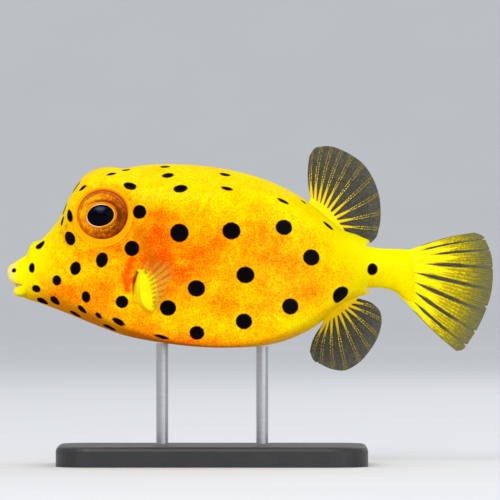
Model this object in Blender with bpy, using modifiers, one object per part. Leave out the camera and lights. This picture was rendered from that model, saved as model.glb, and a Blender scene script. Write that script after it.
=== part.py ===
"""A yellow boxfish, life size, held over a flat base by two short rods.

The fish faces -X and its left side faces -Y. Its forms are drawn in millimetres in its own
coordinates: the distance behind the tip of the upper lip, the distance out to the side, and
the height over the axis that runs from the mouth to the tail stem.
"""

import math

import bmesh
import bpy
import numpy as np
from mathutils import Vector

MM = 0.001

# Driving sizes, in millimetres
TOTAL_LENGTH = 97.1
AXIS_HEIGHT = 39.4
GAP = 0.3
HALF_WIDTH_MOST = 16.0
SPARE_BLOCK = 80.0

# Lines of the bony case, each a list of (distance behind the lip, height)
BACK_LINE = ((4.0, 3.0), (4.5, 4.2), (6.8, 5.7), (9.2, 8.2), (10.7, 10.4), (12.2, 13.7), (13.8, 16.4),
             (15.4, 18.4), (17.4, 19.6), (20.6, 20.2), (23.2, 20.0), (27.0, 20.7), (36.0, 20.85),
             (44.0, 19.8), (52.0, 17.5), (57.0, 15.2), (60.0, 13.3), (62.6, 11.3), (64.6, 9.6),
             (67.2, 7.6), (70.3, 6.3), (71.4, 5.3), (72.1, 4.5), (72.9, 4.25), (79.0, 3.75))
BELLY_LINE = ((4.0, -6.2), (6.2, -6.9), (10.6, -8.5), (17.0, -11.1), (23.4, -13.4), (31.4, -14.8),
              (44.2, -15.6), (50.0, -15.5), (55.4, -14.5), (58.6, -13.3), (61.4, -11.8), (63.4, -10.2),
              (65.2, -8.5), (67.2, -7.0), (69.2, -6.1), (70.3, -5.6), (71.4, -4.8), (72.1, -4.1),
              (72.9, -4.0), (76.4, -4.3), (78.0, -5.0), (79.0, -6.0))
RIDGE_LINE = ((4.0, 1.5), (6.8, 4.0), (9.8, 6.8), (12.2, 10.6), (15.4, 14.9), (18.6, 16.7), (24.6, 15.7),
              (38.0, 14.4), (48.6, 13.6), (54.6, 12.2), (59.8, 10.0), (65.2, 6.2), (71.4, 3.4), (79.0, 1.5))
KEEL_LINE = ((4.0, -4.6), (10.6, -6.6), (15.0, -8.0), (21.0, -9.9), (31.0, -12.2), (38.0, -12.8),
             (47.2, -12.9), (56.6, -11.2), (62.2, -8.4), (66.6, -5.6), (71.4, -3.4), (79.0, -4.0))

# Half width along the body, as a share of the greatest
WIDTH_LINE = ((4.0, 0.20), (5.0, 0.26), (8.6, 0.42), (13.8, 0.64), (20.2, 0.81), (26.0, 0.91), (34.0, 0.98),
              (44.0, 1.0), (52.0, 0.96), (58.0, 0.87), (63.0, 0.73), (67.0, 0.55), (70.3, 0.34),
              (71.4, 0.265), (72.1, 0.21), (72.9, 0.19), (76.0, 0.16), (79.0, 0.12))

# How far a section is from an oval (0) towards the rounded box (1)
BOX_LINE = ((4.0, 0.0), (8.0, 0.3), (14.0, 0.75), (22.0, 1.0), (60.0, 1.0), (68.0, 0.7), (71.4, 0.0), (79.0, 0.0))

# The rounded box: way round from back to belly, share of half width, and level,
# where 3 is the back, 2 the upper ridge, 1 the keel and 0 the belly
BOX_SECTION = ((0.0, 0.0, 3.0), (0.12, 0.40, 2.88), (0.22, 0.69, 2.48), (0.30, 0.845, 2.0),
               (0.38, 0.91, 1.76), (0.50, 0.96, 1.42), (0.60, 0.99, 1.14), (0.67, 0.965, 0.88),
               (0.74, 0.86, 0.44), (0.85, 0.54, 0.10), (1.0, 0.0, 0.0))

# Ways round at which the section is drawn, close together at the keel, and those of the side wall
WAYS = np.array([*np.linspace(0, 0.6, 14, endpoint=False), *np.linspace(0.6, 0.78, 5, endpoint=False),
                 *np.linspace(0.78, 1, 6)])
WALL_WAYS = (0.26, 0.72)

# The case ends in a point over the tail stem and one under it: (station, shift towards the tail)
POINT_SHIFT = ((69.0, 0.0), (70.3, 0.4), (71.4, 1.1), (72.1, -0.6), (72.9, 0.0))
POINT_REACH = 0.22
BELLY_POINT = 0.7

# Ends of the body's three lengths
FACE_AT = 4.0
GILL_AT = 26.0
STEM_AT = 72.9
FIN_AT = 79.0

# Lips: (distance behind the tip, top, bottom, half width)
UPPER_LIP = ((0.0, -0.2, -1.3, 0.7), (0.25, 0.25, -2.0, 1.3), (0.8, 0.7, -2.8, 1.9), (1.5, 1.05, -3.35, 2.3),
             (2.5, 1.75, -3.4, 2.7), (FACE_AT - GAP, 2.6, -3.35, 3.0))
LOWER_LIP = ((1.25, -4.3, -5.1, 0.9), (1.5, -4.0, -5.4, 1.5), (2.1, -3.72, -5.65, 2.1),
             (FACE_AT - GAP, -3.68, -6.1, 2.8))
LIP_SIDES = 20

# Eye, orbit and nostrils
EYE_BEHIND = 19.1
EYE_UP = 10.7
EYE_RADIUS = 5.6
EYE_DEPTH = 4.6
EYE_SHOWS = 2.3
EYE_FORWARD_TILT = 9.0
EYE_UP_TILT = 7.0
EYE_OUT = 11.7
ORBIT_CREST = 5.8
ORBIT_FLAT = 6.4
ORBIT_SKIRT = 10.0
ORBIT_SOFTNESS = 0.45
ORBIT_RING = ((-0.5, 0.1), (-0.2, 0.5), (0.2, 0.5), (0.8, 0.1), (1.0, -1.2))
NOSTRILS = ((12.0, 8.2), (10.9, 7.0))
NOSTRIL_RADIUS = 0.36

# Gill opening: a short upright slit before each pectoral fin
GILL_UP = -2.2
GILL_SIZE = (0.45, 0.8, 2.6)

# Fins: thickness of membrane, rays and the flesh at the root, and the rows from ray roots to edge
MEMBRANE = 0.5
RAY_RISE = 0.22
RAY_WIDTH = 0.17
RAY_FADE = 0.6
TIP_THINNING = 0.2
FLESH_MIDWAY = 0.75
FLESH_AT_RAYS = 0.45
FLESH_REACH = 0.12
REACH = (0.0, 0.1, 0.25, 0.42, 0.6, 0.78, 0.92, 1.0)

# Foot, ray roots and edge of each fin: (ray, distance, height), from one margin to the other
DORSAL_FOOT = ((-0.35, 60.25), (9.6, 66.9))
DORSAL_ROOT = ((-0.35, 60.6, 14.2), (0.0, 60.9, 14.1), (1.0, 61.6, 13.7), (2.0, 62.3, 13.2), (3.0, 63.0, 12.8),
               (4.0, 63.7, 12.3), (5.0, 64.4, 11.7), (6.0, 65.1, 10.9), (7.0, 65.7, 10.1), (8.0, 66.3, 9.3),
               (9.0, 66.8, 8.6), (9.6, 67.3, 8.15))
DORSAL_EDGE = ((-0.35, 60.4, 22.3), (0.0, 61.1, 23.5), (1.0, 62.9, 24.3), (2.0, 64.9, 24.3), (3.0, 66.9, 23.6),
               (4.0, 69.0, 22.5), (5.0, 71.2, 20.8), (6.0, 73.0, 18.2), (7.0, 74.3, 14.8), (8.0, 74.7, 11.0),
               (9.0, 74.3, 7.8), (9.6, 73.4, 6.0))
ANAL_FOOT = ((-0.35, 63.3), (8.6, 69.4))
ANAL_ROOT = ((-0.35, 63.1, -11.2), (0.0, 63.5, -11.1), (1.0, 64.2, -10.7), (2.0, 64.9, -10.2), (3.0, 65.7, -9.7),
             (4.0, 66.5, -9.2), (5.0, 67.2, -8.6), (6.0, 67.9, -8.1), (7.0, 68.6, -7.6), (8.0, 69.3, -7.1),
             (8.6, 69.9, -6.75))
ANAL_EDGE = ((-0.35, 60.5, -16.7), (0.0, 61.0, -18.0), (1.0, 62.8, -19.3), (2.0, 65.2, -20.3), (3.0, 67.8, -20.4),
             (4.0, 70.5, -18.8), (5.0, 72.6, -16.4), (6.0, 74.2, -13.6), (7.0, 74.9, -10.4), (8.0, 74.2, -8.1),
             (8.6, 73.2, -7.2))
TAIL_FOOT = ((-0.45, 3.4), (7.45, -5.8))
TAIL_ROOT = ((-0.45, 80.8, 3.75), (0.0, 81.0, 3.5), (1.0, 81.2, 2.6), (2.0, 81.2, 1.6), (3.0, 81.2, 0.1),
             (4.0, 81.1, -1.8), (5.0, 80.9, -3.4), (6.0, 80.5, -5.0), (7.0, 80.0, -6.4), (7.45, 79.9, -7.0))
TAIL_EDGE = ((-0.45, 93.4, 7.1), (0.0, 94.8, 6.6), (1.0, 96.0, 4.8), (2.0, 96.9, 2.1), (3.0, 97.1, -2.3),
             (4.0, 96.4, -6.5), (5.0, 94.6, -11.0), (6.0, 92.7, -14.2), (7.0, 90.9, -16.4), (7.45, 89.8, -16.6))

# Pectoral fin, from its upper ray (0) to its lowest (1): foot, length, and lean back and up
PECTORAL_FOOT = ((0.0, 27.2, -1.0), (1.0, 29.0, -8.4))
PECTORAL_LENGTH = ((0.0, 6.2), (0.25, 10.0), (0.5, 10.8), (0.75, 9.0), (1.0, 5.6))
PECTORAL_BACK = ((0.0, 0.12), (0.3, 0.30), (0.6, 0.34), (1.0, 0.22))
PECTORAL_RISE = ((0.0, 0.34), (0.5, 0.12), (1.0, -0.16))
PECTORAL_RAYS = 9
PECTORAL_FLESH = 1.35
PECTORAL_STALK = 2.2
PECTORAL_BOW = 0.5

# Stand
ROD_RADIUS = 1.2
ROD_BEHIND = (31.0, 51.0)
BASE_SIZE = (62.0, 38.0, 4.0)
BASE_BEHIND = 41.0
BASE_CORNER = 7.0
BASE_EDGE = 0.8

# Colours
SKIN_COLOUR = (1.0, 0.72, 0.02)
STEM_COLOUR = (1.0, 0.82, 0.0)
LIP_COLOUR = (1.0, 0.84, 0.25)
EYE_COLOUR = (0.75, 0.3, 0.03)
FIN_COLOUR = (0.6, 0.5, 0.12)
PECTORAL_COLOUR = (0.95, 0.8, 0.15)
STEEL_COLOUR = (0.6, 0.6, 0.6)
PLATE_COLOUR = (0.1, 0.1, 0.11)


def line(knots, at, column=1):
    """A smooth line through knots: cubic pieces whose slope at a knot follows both neighbours."""
    table = np.array(knots, float)
    x = table[:, 0]
    y = table[:, column]
    step = np.diff(x)
    chord = np.diff(y) / step
    inner = (chord[:-1] * step[1:] + chord[1:] * step[:-1]) / (step[1:] + step[:-1])
    slope = np.concatenate([chord[:1], inner, chord[-1:]])
    at = np.clip(at, x[0], x[-1])
    i = np.clip(np.searchsorted(x, at, side="right") - 1, 0, len(step) - 1)
    t = (at - x[i]) / step[i]
    ends = y[i] * (1 + 2 * t) * (1 - t) ** 2 + y[i + 1] * t * t * (3 - 2 * t)
    bends = step[i] * (slope[i] * t * (1 - t) ** 2 - slope[i + 1] * t * t * (1 - t))
    return ends + bends


def metres(points):
    """World coordinates, in metres, of points in the fish's own millimetres."""
    points = np.asarray(points, float)
    return (points + np.array([-TOTAL_LENGTH / 2, 0.0, AXIS_HEIGHT])) * MM


# The body's surface


def eye_axis(side):
    """Straight out of the eye: sideways, a little up and forward."""
    turn, lift = math.radians(EYE_FORWARD_TILT), math.radians(EYE_UP_TILT)
    return np.array([-math.sin(turn) * math.cos(lift), side * math.cos(turn) * math.cos(lift), math.sin(lift)])


def orbit_swell(points):
    """Raise the right half's skin to the flat round the eye, fading out over a soft skirt."""
    axis = eye_axis(1)
    offset = points - np.array([EYE_BEHIND, EYE_OUT, EYE_UP])
    along = offset @ axis
    reach = np.linalg.norm(offset - along[..., None] * axis, axis=-1)
    fade = np.clip((ORBIT_SKIRT - reach) / (ORBIT_SKIRT - ORBIT_FLAT), 0, 1)
    rise = 0.5 * (np.sqrt(along ** 2 + ORBIT_SOFTNESS ** 2) - along) * fade ** 2 * (3 - 2 * fade)
    swollen = points.copy()
    swollen[..., 1] += rise / axis[1]
    return swollen


def case(station, way):
    """Points of the body's right half, one row for each station and one column for each way round.

    A section runs through knots that lie between an oval and a rounded box, and near the back
    and the belly a station is shifted along the body, which draws the two rear points.
    """
    station = np.asarray(station, float)[:, None]
    way = np.asarray(way, float)
    back, belly, ridge, keel = (line(k, station) for k in (BACK_LINE, BELLY_LINE, RIDGE_LINE, KEEL_LINE))
    wide = HALF_WIDTH_MOST * line(WIDTH_LINE, station)
    boxy = line(BOX_LINE, station)
    at, share, level = np.array(BOX_SECTION).T
    upper = ridge + (level - 2) * (back - ridge)
    side = keel + (level - 1) * (ridge - keel)
    lower = belly + level * (keel - belly)
    box_height = np.where(level > 2, upper, np.where(level > 1, side, lower))
    oval_height = (back + belly) / 2 + (back - belly) / 2 * np.cos(math.pi * at)
    height = boxy * box_height + (1 - boxy) * oval_height
    breadth = wide * (boxy * share + (1 - boxy) * np.sin(math.pi * at))
    weight = np.stack([line(np.stack([at, unit], 1), way) for unit in np.eye(len(at))])
    near_back = np.clip(1 - way / POINT_REACH, 0, 1) ** 2
    near_belly = BELLY_POINT * np.clip(1 - (1 - way) / POINT_REACH, 0, 1) ** 2
    behind = station + line(POINT_SHIFT, station) * (near_back + near_belly)
    return orbit_swell(np.stack([behind, breadth @ weight, height @ weight], -1))


def skin_height(behind, side):
    """Height of the back (side 1) or of the belly (side -1) on the middle line."""
    return line(BACK_LINE if side > 0 else BELLY_LINE, behind)


def wall_at(behind, height):
    """Half width of the body's side wall at a height, read from the section there."""
    section = case([behind], np.linspace(*WALL_WAYS, 120))[0]
    return float(np.interp(-height, -section[:, 2], section[:, 1]))


def skin_frame(behind, height, side):
    """A point on the side wall, and the direction straight out of the skin there."""
    step = 0.5
    here = wall_at(behind, height)
    widening = (wall_at(behind + step, height) - here) / step
    rising = (wall_at(behind, height + step) - here) / step
    return Vector((behind, side * here, height)), Vector((-widening, side, -rising)).normalized()


# Meshes and objects


def finish(name, colour, roughness, metallic=0.0):
    """A plain material."""
    made = bpy.data.materials.new(name)
    made.use_nodes = True
    shader = made.node_tree.nodes["Principled BSDF"]
    shader.inputs["Base Color"].default_value = (*colour, 1.0)
    shader.inputs["Roughness"].default_value = roughness
    shader.inputs["Metallic"].default_value = metallic
    return made


def place(name, mesh, material, group):
    """An object of its own for a mesh, in a collection; a cutter has no material and is hidden."""
    thing = bpy.data.objects.new(name, mesh)
    if material:
        mesh.materials.append(material)
    else:
        thing.hide_render = True
        thing.display_type = "WIRE"
    group.objects.link(thing)
    return thing


def mesh_of(name, shape, sharp=40):
    """A mesh from a bmesh, shaded smooth except over sharp edges."""
    mesh = bpy.data.meshes.new(name)
    shape.to_mesh(mesh)
    shape.free()
    mesh.shade_smooth()
    mesh.set_sharp_from_angle(angle=math.radians(sharp))
    return mesh


def mesh_from(name, points, faces):
    """A mesh from the fish's own points and lists of corners, with its faces turned outwards."""
    raw = bpy.data.meshes.new(name)
    raw.from_pydata([tuple(p) for p in metres(points)], [], faces)
    shape = bmesh.new()
    shape.from_mesh(raw)
    bpy.data.meshes.remove(raw)
    bmesh.ops.recalc_face_normals(shape, faces=shape.faces)
    return mesh_of(name, shape)


def loft(name, rings):
    """A closed body through rings of points, each end shut by a fan about its middle."""
    rows, around = rings.shape[:2]
    points = list(rings.reshape(-1, 3))
    faces = []
    for r in range(rows - 1):
        for c in range(around):
            n = (c + 1) % around
            faces.append((r * around + c, r * around + n, (r + 1) * around + n, (r + 1) * around + c))
    for r in (0, rows - 1):
        points.append(rings[r].mean(0))
        for c in range(around):
            faces.append((r * around + c, r * around + (c + 1) % around, len(points) - 1))
    return mesh_from(name, points, faces)


def sheet(name, middle, normal, half):
    """A closed thin body: both faces of a grid of points, moved apart along the normals.

    Both faces are split along the same diagonals, so that they never cross.
    """
    rows, columns = half.shape
    front = (middle + normal * half[..., None]).reshape(-1, 3)
    rear = (middle - normal * half[..., None]).reshape(-1, 3)
    other = rows * columns
    faces = []
    for r in range(rows - 1):
        for c in range(columns - 1):
            a, b = r * columns + c, r * columns + c + 1
            d, e = a + columns, b + columns
            for p, q, s in ((a, b, e), (a, e, d)):
                faces += [(p, q, s), (other + p, other + s, other + q)]
    first, last = range(columns), range((rows - 1) * columns + columns - 2, (rows - 1) * columns - 1, -1)
    right = range(2 * columns - 1, rows * columns, columns)
    left = range((rows - 2) * columns, 0, -columns)
    rim = [*first, *right, *last, *left]
    for a, b in zip(rim, rim[1:] + rim[:1]):
        faces += [(a, other + a, other + b), (a, other + b, b)]
    return mesh_from(name, np.concatenate([front, rear]), faces)


def turned(name, profile, centre, axis, sides):
    """A turned body: a profile of (radius, height) run round an axis by a Screw modifier."""
    mesh = bpy.data.meshes.new(name)
    points = [(r * MM, 0.0, z * MM) for r, z in profile]
    mesh.from_pydata(points, [(i, i + 1) for i in range(len(points) - 1)], [])
    made = place(name, mesh, None, cutters)
    screw = made.modifiers.new("turn", "SCREW")
    screw.steps = sides
    screw.render_steps = sides
    screw.use_merge_vertices = True
    screw.merge_threshold = 0.00001
    screw.use_normal_calculate = True
    made.rotation_mode = "QUATERNION"
    made.rotation_quaternion = axis.to_track_quat("Z", "Y")
    made.location = Vector(metres(centre))
    return made


def egg(name, centre, turn, radii, fineness, material, group):
    """A sphere stretched to three radii, turned and put in its place."""
    shape = bmesh.new()
    bmesh.ops.create_uvsphere(shape, u_segments=2 * fineness, v_segments=fineness, radius=1.0)
    bmesh.ops.scale(shape, vec=[r * MM for r in radii], verts=shape.verts)
    bmesh.ops.rotate(shape, matrix=turn.to_matrix(), verts=shape.verts)
    bmesh.ops.translate(shape, vec=Vector(metres(centre)), verts=shape.verts)
    return place(name, mesh_of(name, shape), material, group)


def largest(mesh):
    """Keep only the largest closed surface of a mesh."""
    shape = bmesh.new()
    shape.from_mesh(mesh)
    left = set(shape.faces)
    groups = []
    while left:
        group = {left.pop()}
        front = list(group)
        while front:
            for edge in front.pop().edges:
                found = [face for face in edge.link_faces if face in left]
                left.difference_update(found)
                group.update(found)
                front += found
        groups.append(group)
    groups.sort(key=lambda group: sum(face.calc_area() for face in group))
    for group in groups[:-1]:
        bmesh.ops.delete(shape, geom=list(group), context="FACES")
    shape.to_mesh(mesh)
    shape.free()


def combine(thing, others, operation):
    """Join others to a thing, or cut them from it, by one Boolean on a collection, and apply it."""
    group = bpy.data.collections.new(thing.name + "_" + operation.lower())
    bpy.context.scene.collection.children.link(group)
    for other in others:
        cutters.objects.unlink(other)
        group.objects.link(other)
    step = thing.modifiers.new("combine", "BOOLEAN")
    step.operation = operation
    step.operand_type = "COLLECTION"
    step.collection = group
    step.solver = "EXACT"
    bpy.context.view_layer.update()
    graph = bpy.context.evaluated_depsgraph_get()
    mesh = bpy.data.meshes.new_from_object(thing.evaluated_get(graph))
    thing.modifiers.clear()
    thing.data = mesh
    largest(mesh)
    for other in others:
        bpy.data.objects.remove(other)
    bpy.data.collections.remove(group)


# Pieces of the fish


def body_length(name, stations, colour):
    """One length of the body, square to the axis at both ends."""
    half = case(stations, WAYS)
    other = half[:, -2:0:-1] * np.array([1.0, -1.0, 1.0])
    return place(name, loft(name, np.concatenate([half, other], 1)), finish(name, colour, 0.45), fish)


def lip(name, stations, colour):
    """A lip: oval sections of (distance, top, bottom, half width), up to the case's front face."""
    around = np.linspace(0, 2 * math.pi, LIP_SIDES, endpoint=False)
    rings = []
    for behind, top, bottom, half in stations:
        height = (top + bottom) / 2 + (top - bottom) / 2 * np.cos(around)
        rings.append(np.stack([np.full(LIP_SIDES, behind), half * np.sin(around), height], -1))
    return place(name, loft(name, np.stack(rings)), finish(name, colour, 0.4), fish)


def eye(side, word):
    """An eyeball in the fish, its socket one gap wider, and the raised ring of the orbit."""
    rim, axis = Vector((EYE_BEHIND, side * EYE_OUT, EYE_UP)), Vector(eye_axis(side))
    ring = [(0.0, 0.1)] + [(ORBIT_CREST + r, z) for r, z in ORBIT_RING] + [(0.0, -1.2)]
    orbit = turned("orbit_" + word, ring, rim, axis, 36)
    centre, turn = rim - axis * (EYE_DEPTH - EYE_SHOWS), axis.to_track_quat("Z", "Y")
    egg("eye_" + word, centre, turn, (EYE_RADIUS, EYE_RADIUS, EYE_DEPTH), 12,
        finish("eye_" + word, EYE_COLOUR, 0.1), fish)
    wide, deep = EYE_RADIUS + GAP, EYE_DEPTH + GAP
    return orbit, egg("socket_" + word, centre, turn, (wide, wide, deep), 12, None, cutters)


def nostril(side, name, behind, height):
    """A small rimmed pit before the eye: its rim and the pit."""
    spot, out = skin_frame(behind, height, side)
    r = NOSTRIL_RADIUS
    rim = ((0.0, 0.2), (r + 0.1, 0.24), (r + 0.25, 0.16), (r + 0.5, -0.2), (r + 0.5, -0.8), (0.0, -0.8))
    raised = turned(name + "_rim", rim, spot, out, 14)
    return raised, egg(name, spot + out * 0.2, out.to_track_quat("Z", "Y"), (r, r, 0.7), 7, None, cutters)


def gill_slit(side, name):
    """The upright slit where the gill opens, across the parting of head and torso."""
    spot, out = skin_frame(GILL_AT + GAP / 2, GILL_UP, side)
    turn = Vector((0.0, side, 0.0)).rotation_difference(out)
    return egg(name, spot, turn, GILL_SIZE, 8, None, cutters)


def ray_columns(count, margin):
    """Places across a fin, with its rise at each: two margins, and three places for each ray."""
    rays = np.arange(count)[:, None] + np.array([-RAY_WIDTH, 0.0, RAY_WIDTH])
    places = np.concatenate([[margin[0]], rays.ravel(), [margin[1]]])
    rise = np.concatenate([[0.0], np.tile([0.0, 1.0, 0.0], count), [0.0]])
    return places, rise, 2 * (places - margin[0]) / (margin[1] - margin[0]) - 1


def fin_rows(foot, root, edge, bow):
    """A fin's middle sheet: a row on what it grows from, one midway, then from ray roots to edge."""
    rows = [foot, 0.5 * (foot + root)]
    rows += [root + (edge - root) * share + bow * math.sin(math.pi * share) for share in REACH]
    return np.stack(rows)


def half_thickness(spread, rise, flesh):
    """Half thickness of a fin: flesh at the root, less towards the margins, then membrane and rays."""
    lens = flesh * np.sqrt(np.clip(1 - spread ** 2, 0, 1))
    rows = [MEMBRANE / 2 + lens, MEMBRANE / 2 + FLESH_MIDWAY * lens]
    for share in REACH:
        body = FLESH_AT_RAYS * lens * max(0.0, 1 - share / FLESH_REACH)
        rows.append(MEMBRANE / 2 * (1 - TIP_THINNING * share) + body + rise * RAY_RISE * (1 - RAY_FADE * share))
    return np.stack(rows)


def median_fin(name, foot, root, edge, flesh, bow, colour):
    """A fin in the middle plane of the fish; root and edge say where each ray starts and ends."""
    margin = (root[0][0], root[-1][0])
    across, rise, spread = ray_columns(len(root) - 2, margin)
    flat = np.zeros_like(across)
    root_line = np.stack([line(root, across), flat, line(root, across, 2)], -1)
    edge_line = np.stack([line(edge, across), flat, line(edge, across, 2)], -1)
    middle = fin_rows(foot(across), root_line, edge_line, np.stack([spread, flat, flat], -1) * bow)
    mesh = sheet(name, middle, np.array([0.0, 1.0, 0.0]), half_thickness(spread, rise, flesh))
    return place(name, mesh, finish(name, colour, 0.4), fish)


def on_skin(foot, side):
    """The foot of a fin on the back (side 1) or the belly (side -1), one gap off the skin."""
    def points(across):
        behind = line(foot, across)
        return np.stack([behind, 0 * behind, skin_height(behind, side) + side * GAP], -1)
    return points


def on_stem(across):
    """The foot of the tail fin, one gap off the end of the tail stem."""
    return np.stack([np.full_like(across, FIN_AT + GAP), 0 * across, line(TAIL_FOOT, across)], -1)


def pectoral_fin(name, side):
    """A fin held out from the side wall: a fleshy stalk on the skin, then a fan swept back."""
    across, rise, spread = ray_columns(PECTORAL_RAYS, (-0.4, PECTORAL_RAYS - 0.6))
    u = (spread + 1) / 2
    behind, height = line(PECTORAL_FOOT, u), line(PECTORAL_FOOT, u, 2)
    wall = np.array([wall_at(b, h) for b, h in zip(behind, height)])
    foot = np.stack([behind, side * (wall + GAP), height], -1)
    back, up = line(PECTORAL_BACK, u), line(PECTORAL_RISE, u)
    lean = np.stack([back, side * np.sqrt(1 - back ** 2 - up ** 2), up], -1)
    root = foot + lean * PECTORAL_STALK
    edge = root + lean * line(PECTORAL_LENGTH, u)[:, None]
    middle = fin_rows(foot, root, edge, np.array([PECTORAL_BOW, 0.0, 0.0]))
    normal = side * np.cross(np.gradient(middle, axis=1), np.gradient(middle, axis=0))
    normal /= np.linalg.norm(normal, axis=-1, keepdims=True)
    normal[0] = (1.0, 0.0, 0.0)
    mesh = sheet(name, middle, normal, half_thickness(spread, rise, PECTORAL_FLESH))
    return place(name, mesh, finish(name, PECTORAL_COLOUR, 0.4), fish)


# Pieces of the stand


def stand_rod(name, behind):
    """A round rod from the base up to the belly, one gap short of each."""
    low = BASE_SIZE[2] + GAP
    high = AXIS_HEIGHT + float(skin_height(behind, -1)) - GAP
    shape = bmesh.new()
    bmesh.ops.create_cone(shape, cap_ends=True, segments=24, radius1=ROD_RADIUS * MM, radius2=ROD_RADIUS * MM,
                          depth=(high - low) * MM)
    rod = place(name, mesh_of(name, shape), finish(name, STEEL_COLOUR, 0.3, 1.0), fish)
    rod.location = ((behind - TOTAL_LENGTH / 2) * MM, 0.0, (low + high) / 2 * MM)
    return rod


def stand_base(name):
    """A flat plate with rounded corners and an eased upper edge."""
    shape = bmesh.new()
    bmesh.ops.create_cube(shape, size=1.0)
    bmesh.ops.scale(shape, vec=[s * MM for s in BASE_SIZE], verts=shape.verts)
    upright = [e for e in shape.edges if abs(e.verts[0].co.z - e.verts[1].co.z) > MM]
    bmesh.ops.bevel(shape, geom=upright, offset=BASE_CORNER * MM, segments=8, affect="EDGES", profile=0.5)
    top = [e for e in shape.edges if min(v.co.z for v in e.verts) > 0]
    bmesh.ops.bevel(shape, geom=top, offset=BASE_EDGE * MM, segments=2, affect="EDGES", profile=0.5)
    base = place(name, mesh_of(name, shape, 35), finish(name, PLATE_COLOUR, 0.5), fish)
    base.location = ((BASE_BEHIND - TOTAL_LENGTH / 2) * MM, 0.0, BASE_SIZE[2] / 2 * MM)
    return base


# Build


for old in list(bpy.data.objects):
    bpy.data.objects.remove(old, do_unlink=True)

fish = bpy.data.collections.new("yellow_boxfish")
cutters = bpy.data.collections.new("cutters")
bpy.context.scene.collection.children.link(fish)
bpy.context.scene.collection.children.link(cutters)

# The body in three lengths; the head starts too long and is cut to length with its sockets
head = body_length("head", [FACE_AT, 4.25, 4.8, 5.8, 7.1, *np.linspace(8.4, GILL_AT, 12), GILL_AT + 1.5], SKIN_COLOUR)
torso = body_length("torso", [*np.linspace(GILL_AT + GAP, 52.0, 11), *np.linspace(54.5, 68.0, 7), 69.2, 70.3, 71.4,
                              72.1, STEM_AT], SKIN_COLOUR)
body_length("tail_stem", [STEM_AT + GAP, 74.5, 76.4, 78.0, FIN_AT], STEM_COLOUR)

added = []
cut = []
opening = []
for side, word in ((-1, "left"), (1, "right")):
    pairs = [eye(side, word)]
    for number, (behind, height) in enumerate(NOSTRILS):
        pairs.append(nostril(side, "nostril_%s_%d" % (word, number), behind, height))
    added += [raised for raised, hollow in pairs]
    cut += [hollow for raised, hollow in pairs] + [gill_slit(side, "gill_%s_front" % word)]
    opening.append(gill_slit(side, "gill_%s_rear" % word))

spare = bmesh.new()
bmesh.ops.create_cube(spare, size=SPARE_BLOCK * MM)
ahead = (GILL_AT - TOTAL_LENGTH / 2 + SPARE_BLOCK / 2) * MM
bmesh.ops.translate(spare, vec=(ahead, 0.0, AXIS_HEIGHT * MM), verts=spare.verts)
cut.append(place("head_end", mesh_of("head_end", spare), None, cutters))

combine(head, added, "UNION")
combine(head, cut, "DIFFERENCE")
combine(torso, opening, "DIFFERENCE")

lip("lip_upper", UPPER_LIP, LIP_COLOUR)
lip("lip_lower", LOWER_LIP, LIP_COLOUR)
median_fin("dorsal_fin", on_skin(DORSAL_FOOT, 1), DORSAL_ROOT, DORSAL_EDGE, 1.0, 0.4, FIN_COLOUR)
median_fin("anal_fin", on_skin(ANAL_FOOT, -1), ANAL_ROOT, ANAL_EDGE, 0.8, 0.5, FIN_COLOUR)
median_fin("tail_fin", on_stem, TAIL_ROOT, TAIL_EDGE, 1.3, 0.0, FIN_COLOUR)
pectoral_fin("pectoral_fin_left", -1)
pectoral_fin("pectoral_fin_right", 1)

stand_base("stand_base")
stand_rod("stand_rod_front", ROD_BEHIND[0])
stand_rod("stand_rod_rear", ROD_BEHIND[1])
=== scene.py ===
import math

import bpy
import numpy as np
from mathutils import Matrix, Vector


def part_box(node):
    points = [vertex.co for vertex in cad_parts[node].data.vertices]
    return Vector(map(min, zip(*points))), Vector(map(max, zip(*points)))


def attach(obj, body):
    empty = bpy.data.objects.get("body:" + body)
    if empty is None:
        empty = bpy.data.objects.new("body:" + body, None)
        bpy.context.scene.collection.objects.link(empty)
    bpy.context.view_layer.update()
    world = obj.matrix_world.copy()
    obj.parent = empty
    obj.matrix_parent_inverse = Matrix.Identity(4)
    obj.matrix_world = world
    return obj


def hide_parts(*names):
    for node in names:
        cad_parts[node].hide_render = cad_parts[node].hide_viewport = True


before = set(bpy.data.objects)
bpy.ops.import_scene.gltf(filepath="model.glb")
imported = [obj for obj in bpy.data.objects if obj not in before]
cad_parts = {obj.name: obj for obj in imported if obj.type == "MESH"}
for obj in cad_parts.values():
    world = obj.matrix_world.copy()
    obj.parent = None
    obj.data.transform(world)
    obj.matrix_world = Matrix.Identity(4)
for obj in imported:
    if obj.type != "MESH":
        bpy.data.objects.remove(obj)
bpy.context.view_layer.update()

# %% [markdown]
# A yellow boxfish as a museum would show it, life size, held over a plate by two rods.
# A boxfish is a hard box of fused plates under a thin wet skin, with a tube of a mouth in front
# and a bare muscular stem behind. So its looks are made as one skin that runs from the lips to
# the tail, two eyes that sit in it, and five thin fins whose rays are ridges in their surface.
# Every form here is worked out in the fish's own millimetres: the distance behind the tip of the
# upper lip, the distance out to the side, and the height over the axis from mouth to tail.

MM = 0.001
LENGTH = 97.1
AXIS_HEIGHT = 39.4
LEFT, RIGHT = -1, 1


def metres(points):
    """World coordinates, in metres: millimetres moved so that the fish's middle is over the origin."""
    return (np.asarray(points, float) + np.array([-LENGTH / 2, 0.0, AXIS_HEIGHT])) * MM


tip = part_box("lip_upper")[0].x - metres((0.0, 0.0, 0.0))[0]
print("lip tip is off its drawn place by %.3f mm" % (tip / MM))

# %% [markdown]
# The camera stands level with the fish and far off, as a long lens does, so that the fish is seen
# square from its left side with hardly any perspective, as in the photograph. Its distance and
# lens are set together: a picture as wide as 100 mm at the fish's middle plane.

# %% Camera
VIEW_WIDTH = 100.0 * MM
VIEW_HEIGHT_AT = 43.0 * MM
CAMERA_AWAY = 1.5
SENSOR = 36.0
SEEN_FROM_TO = (0.05, 20.0)


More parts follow.
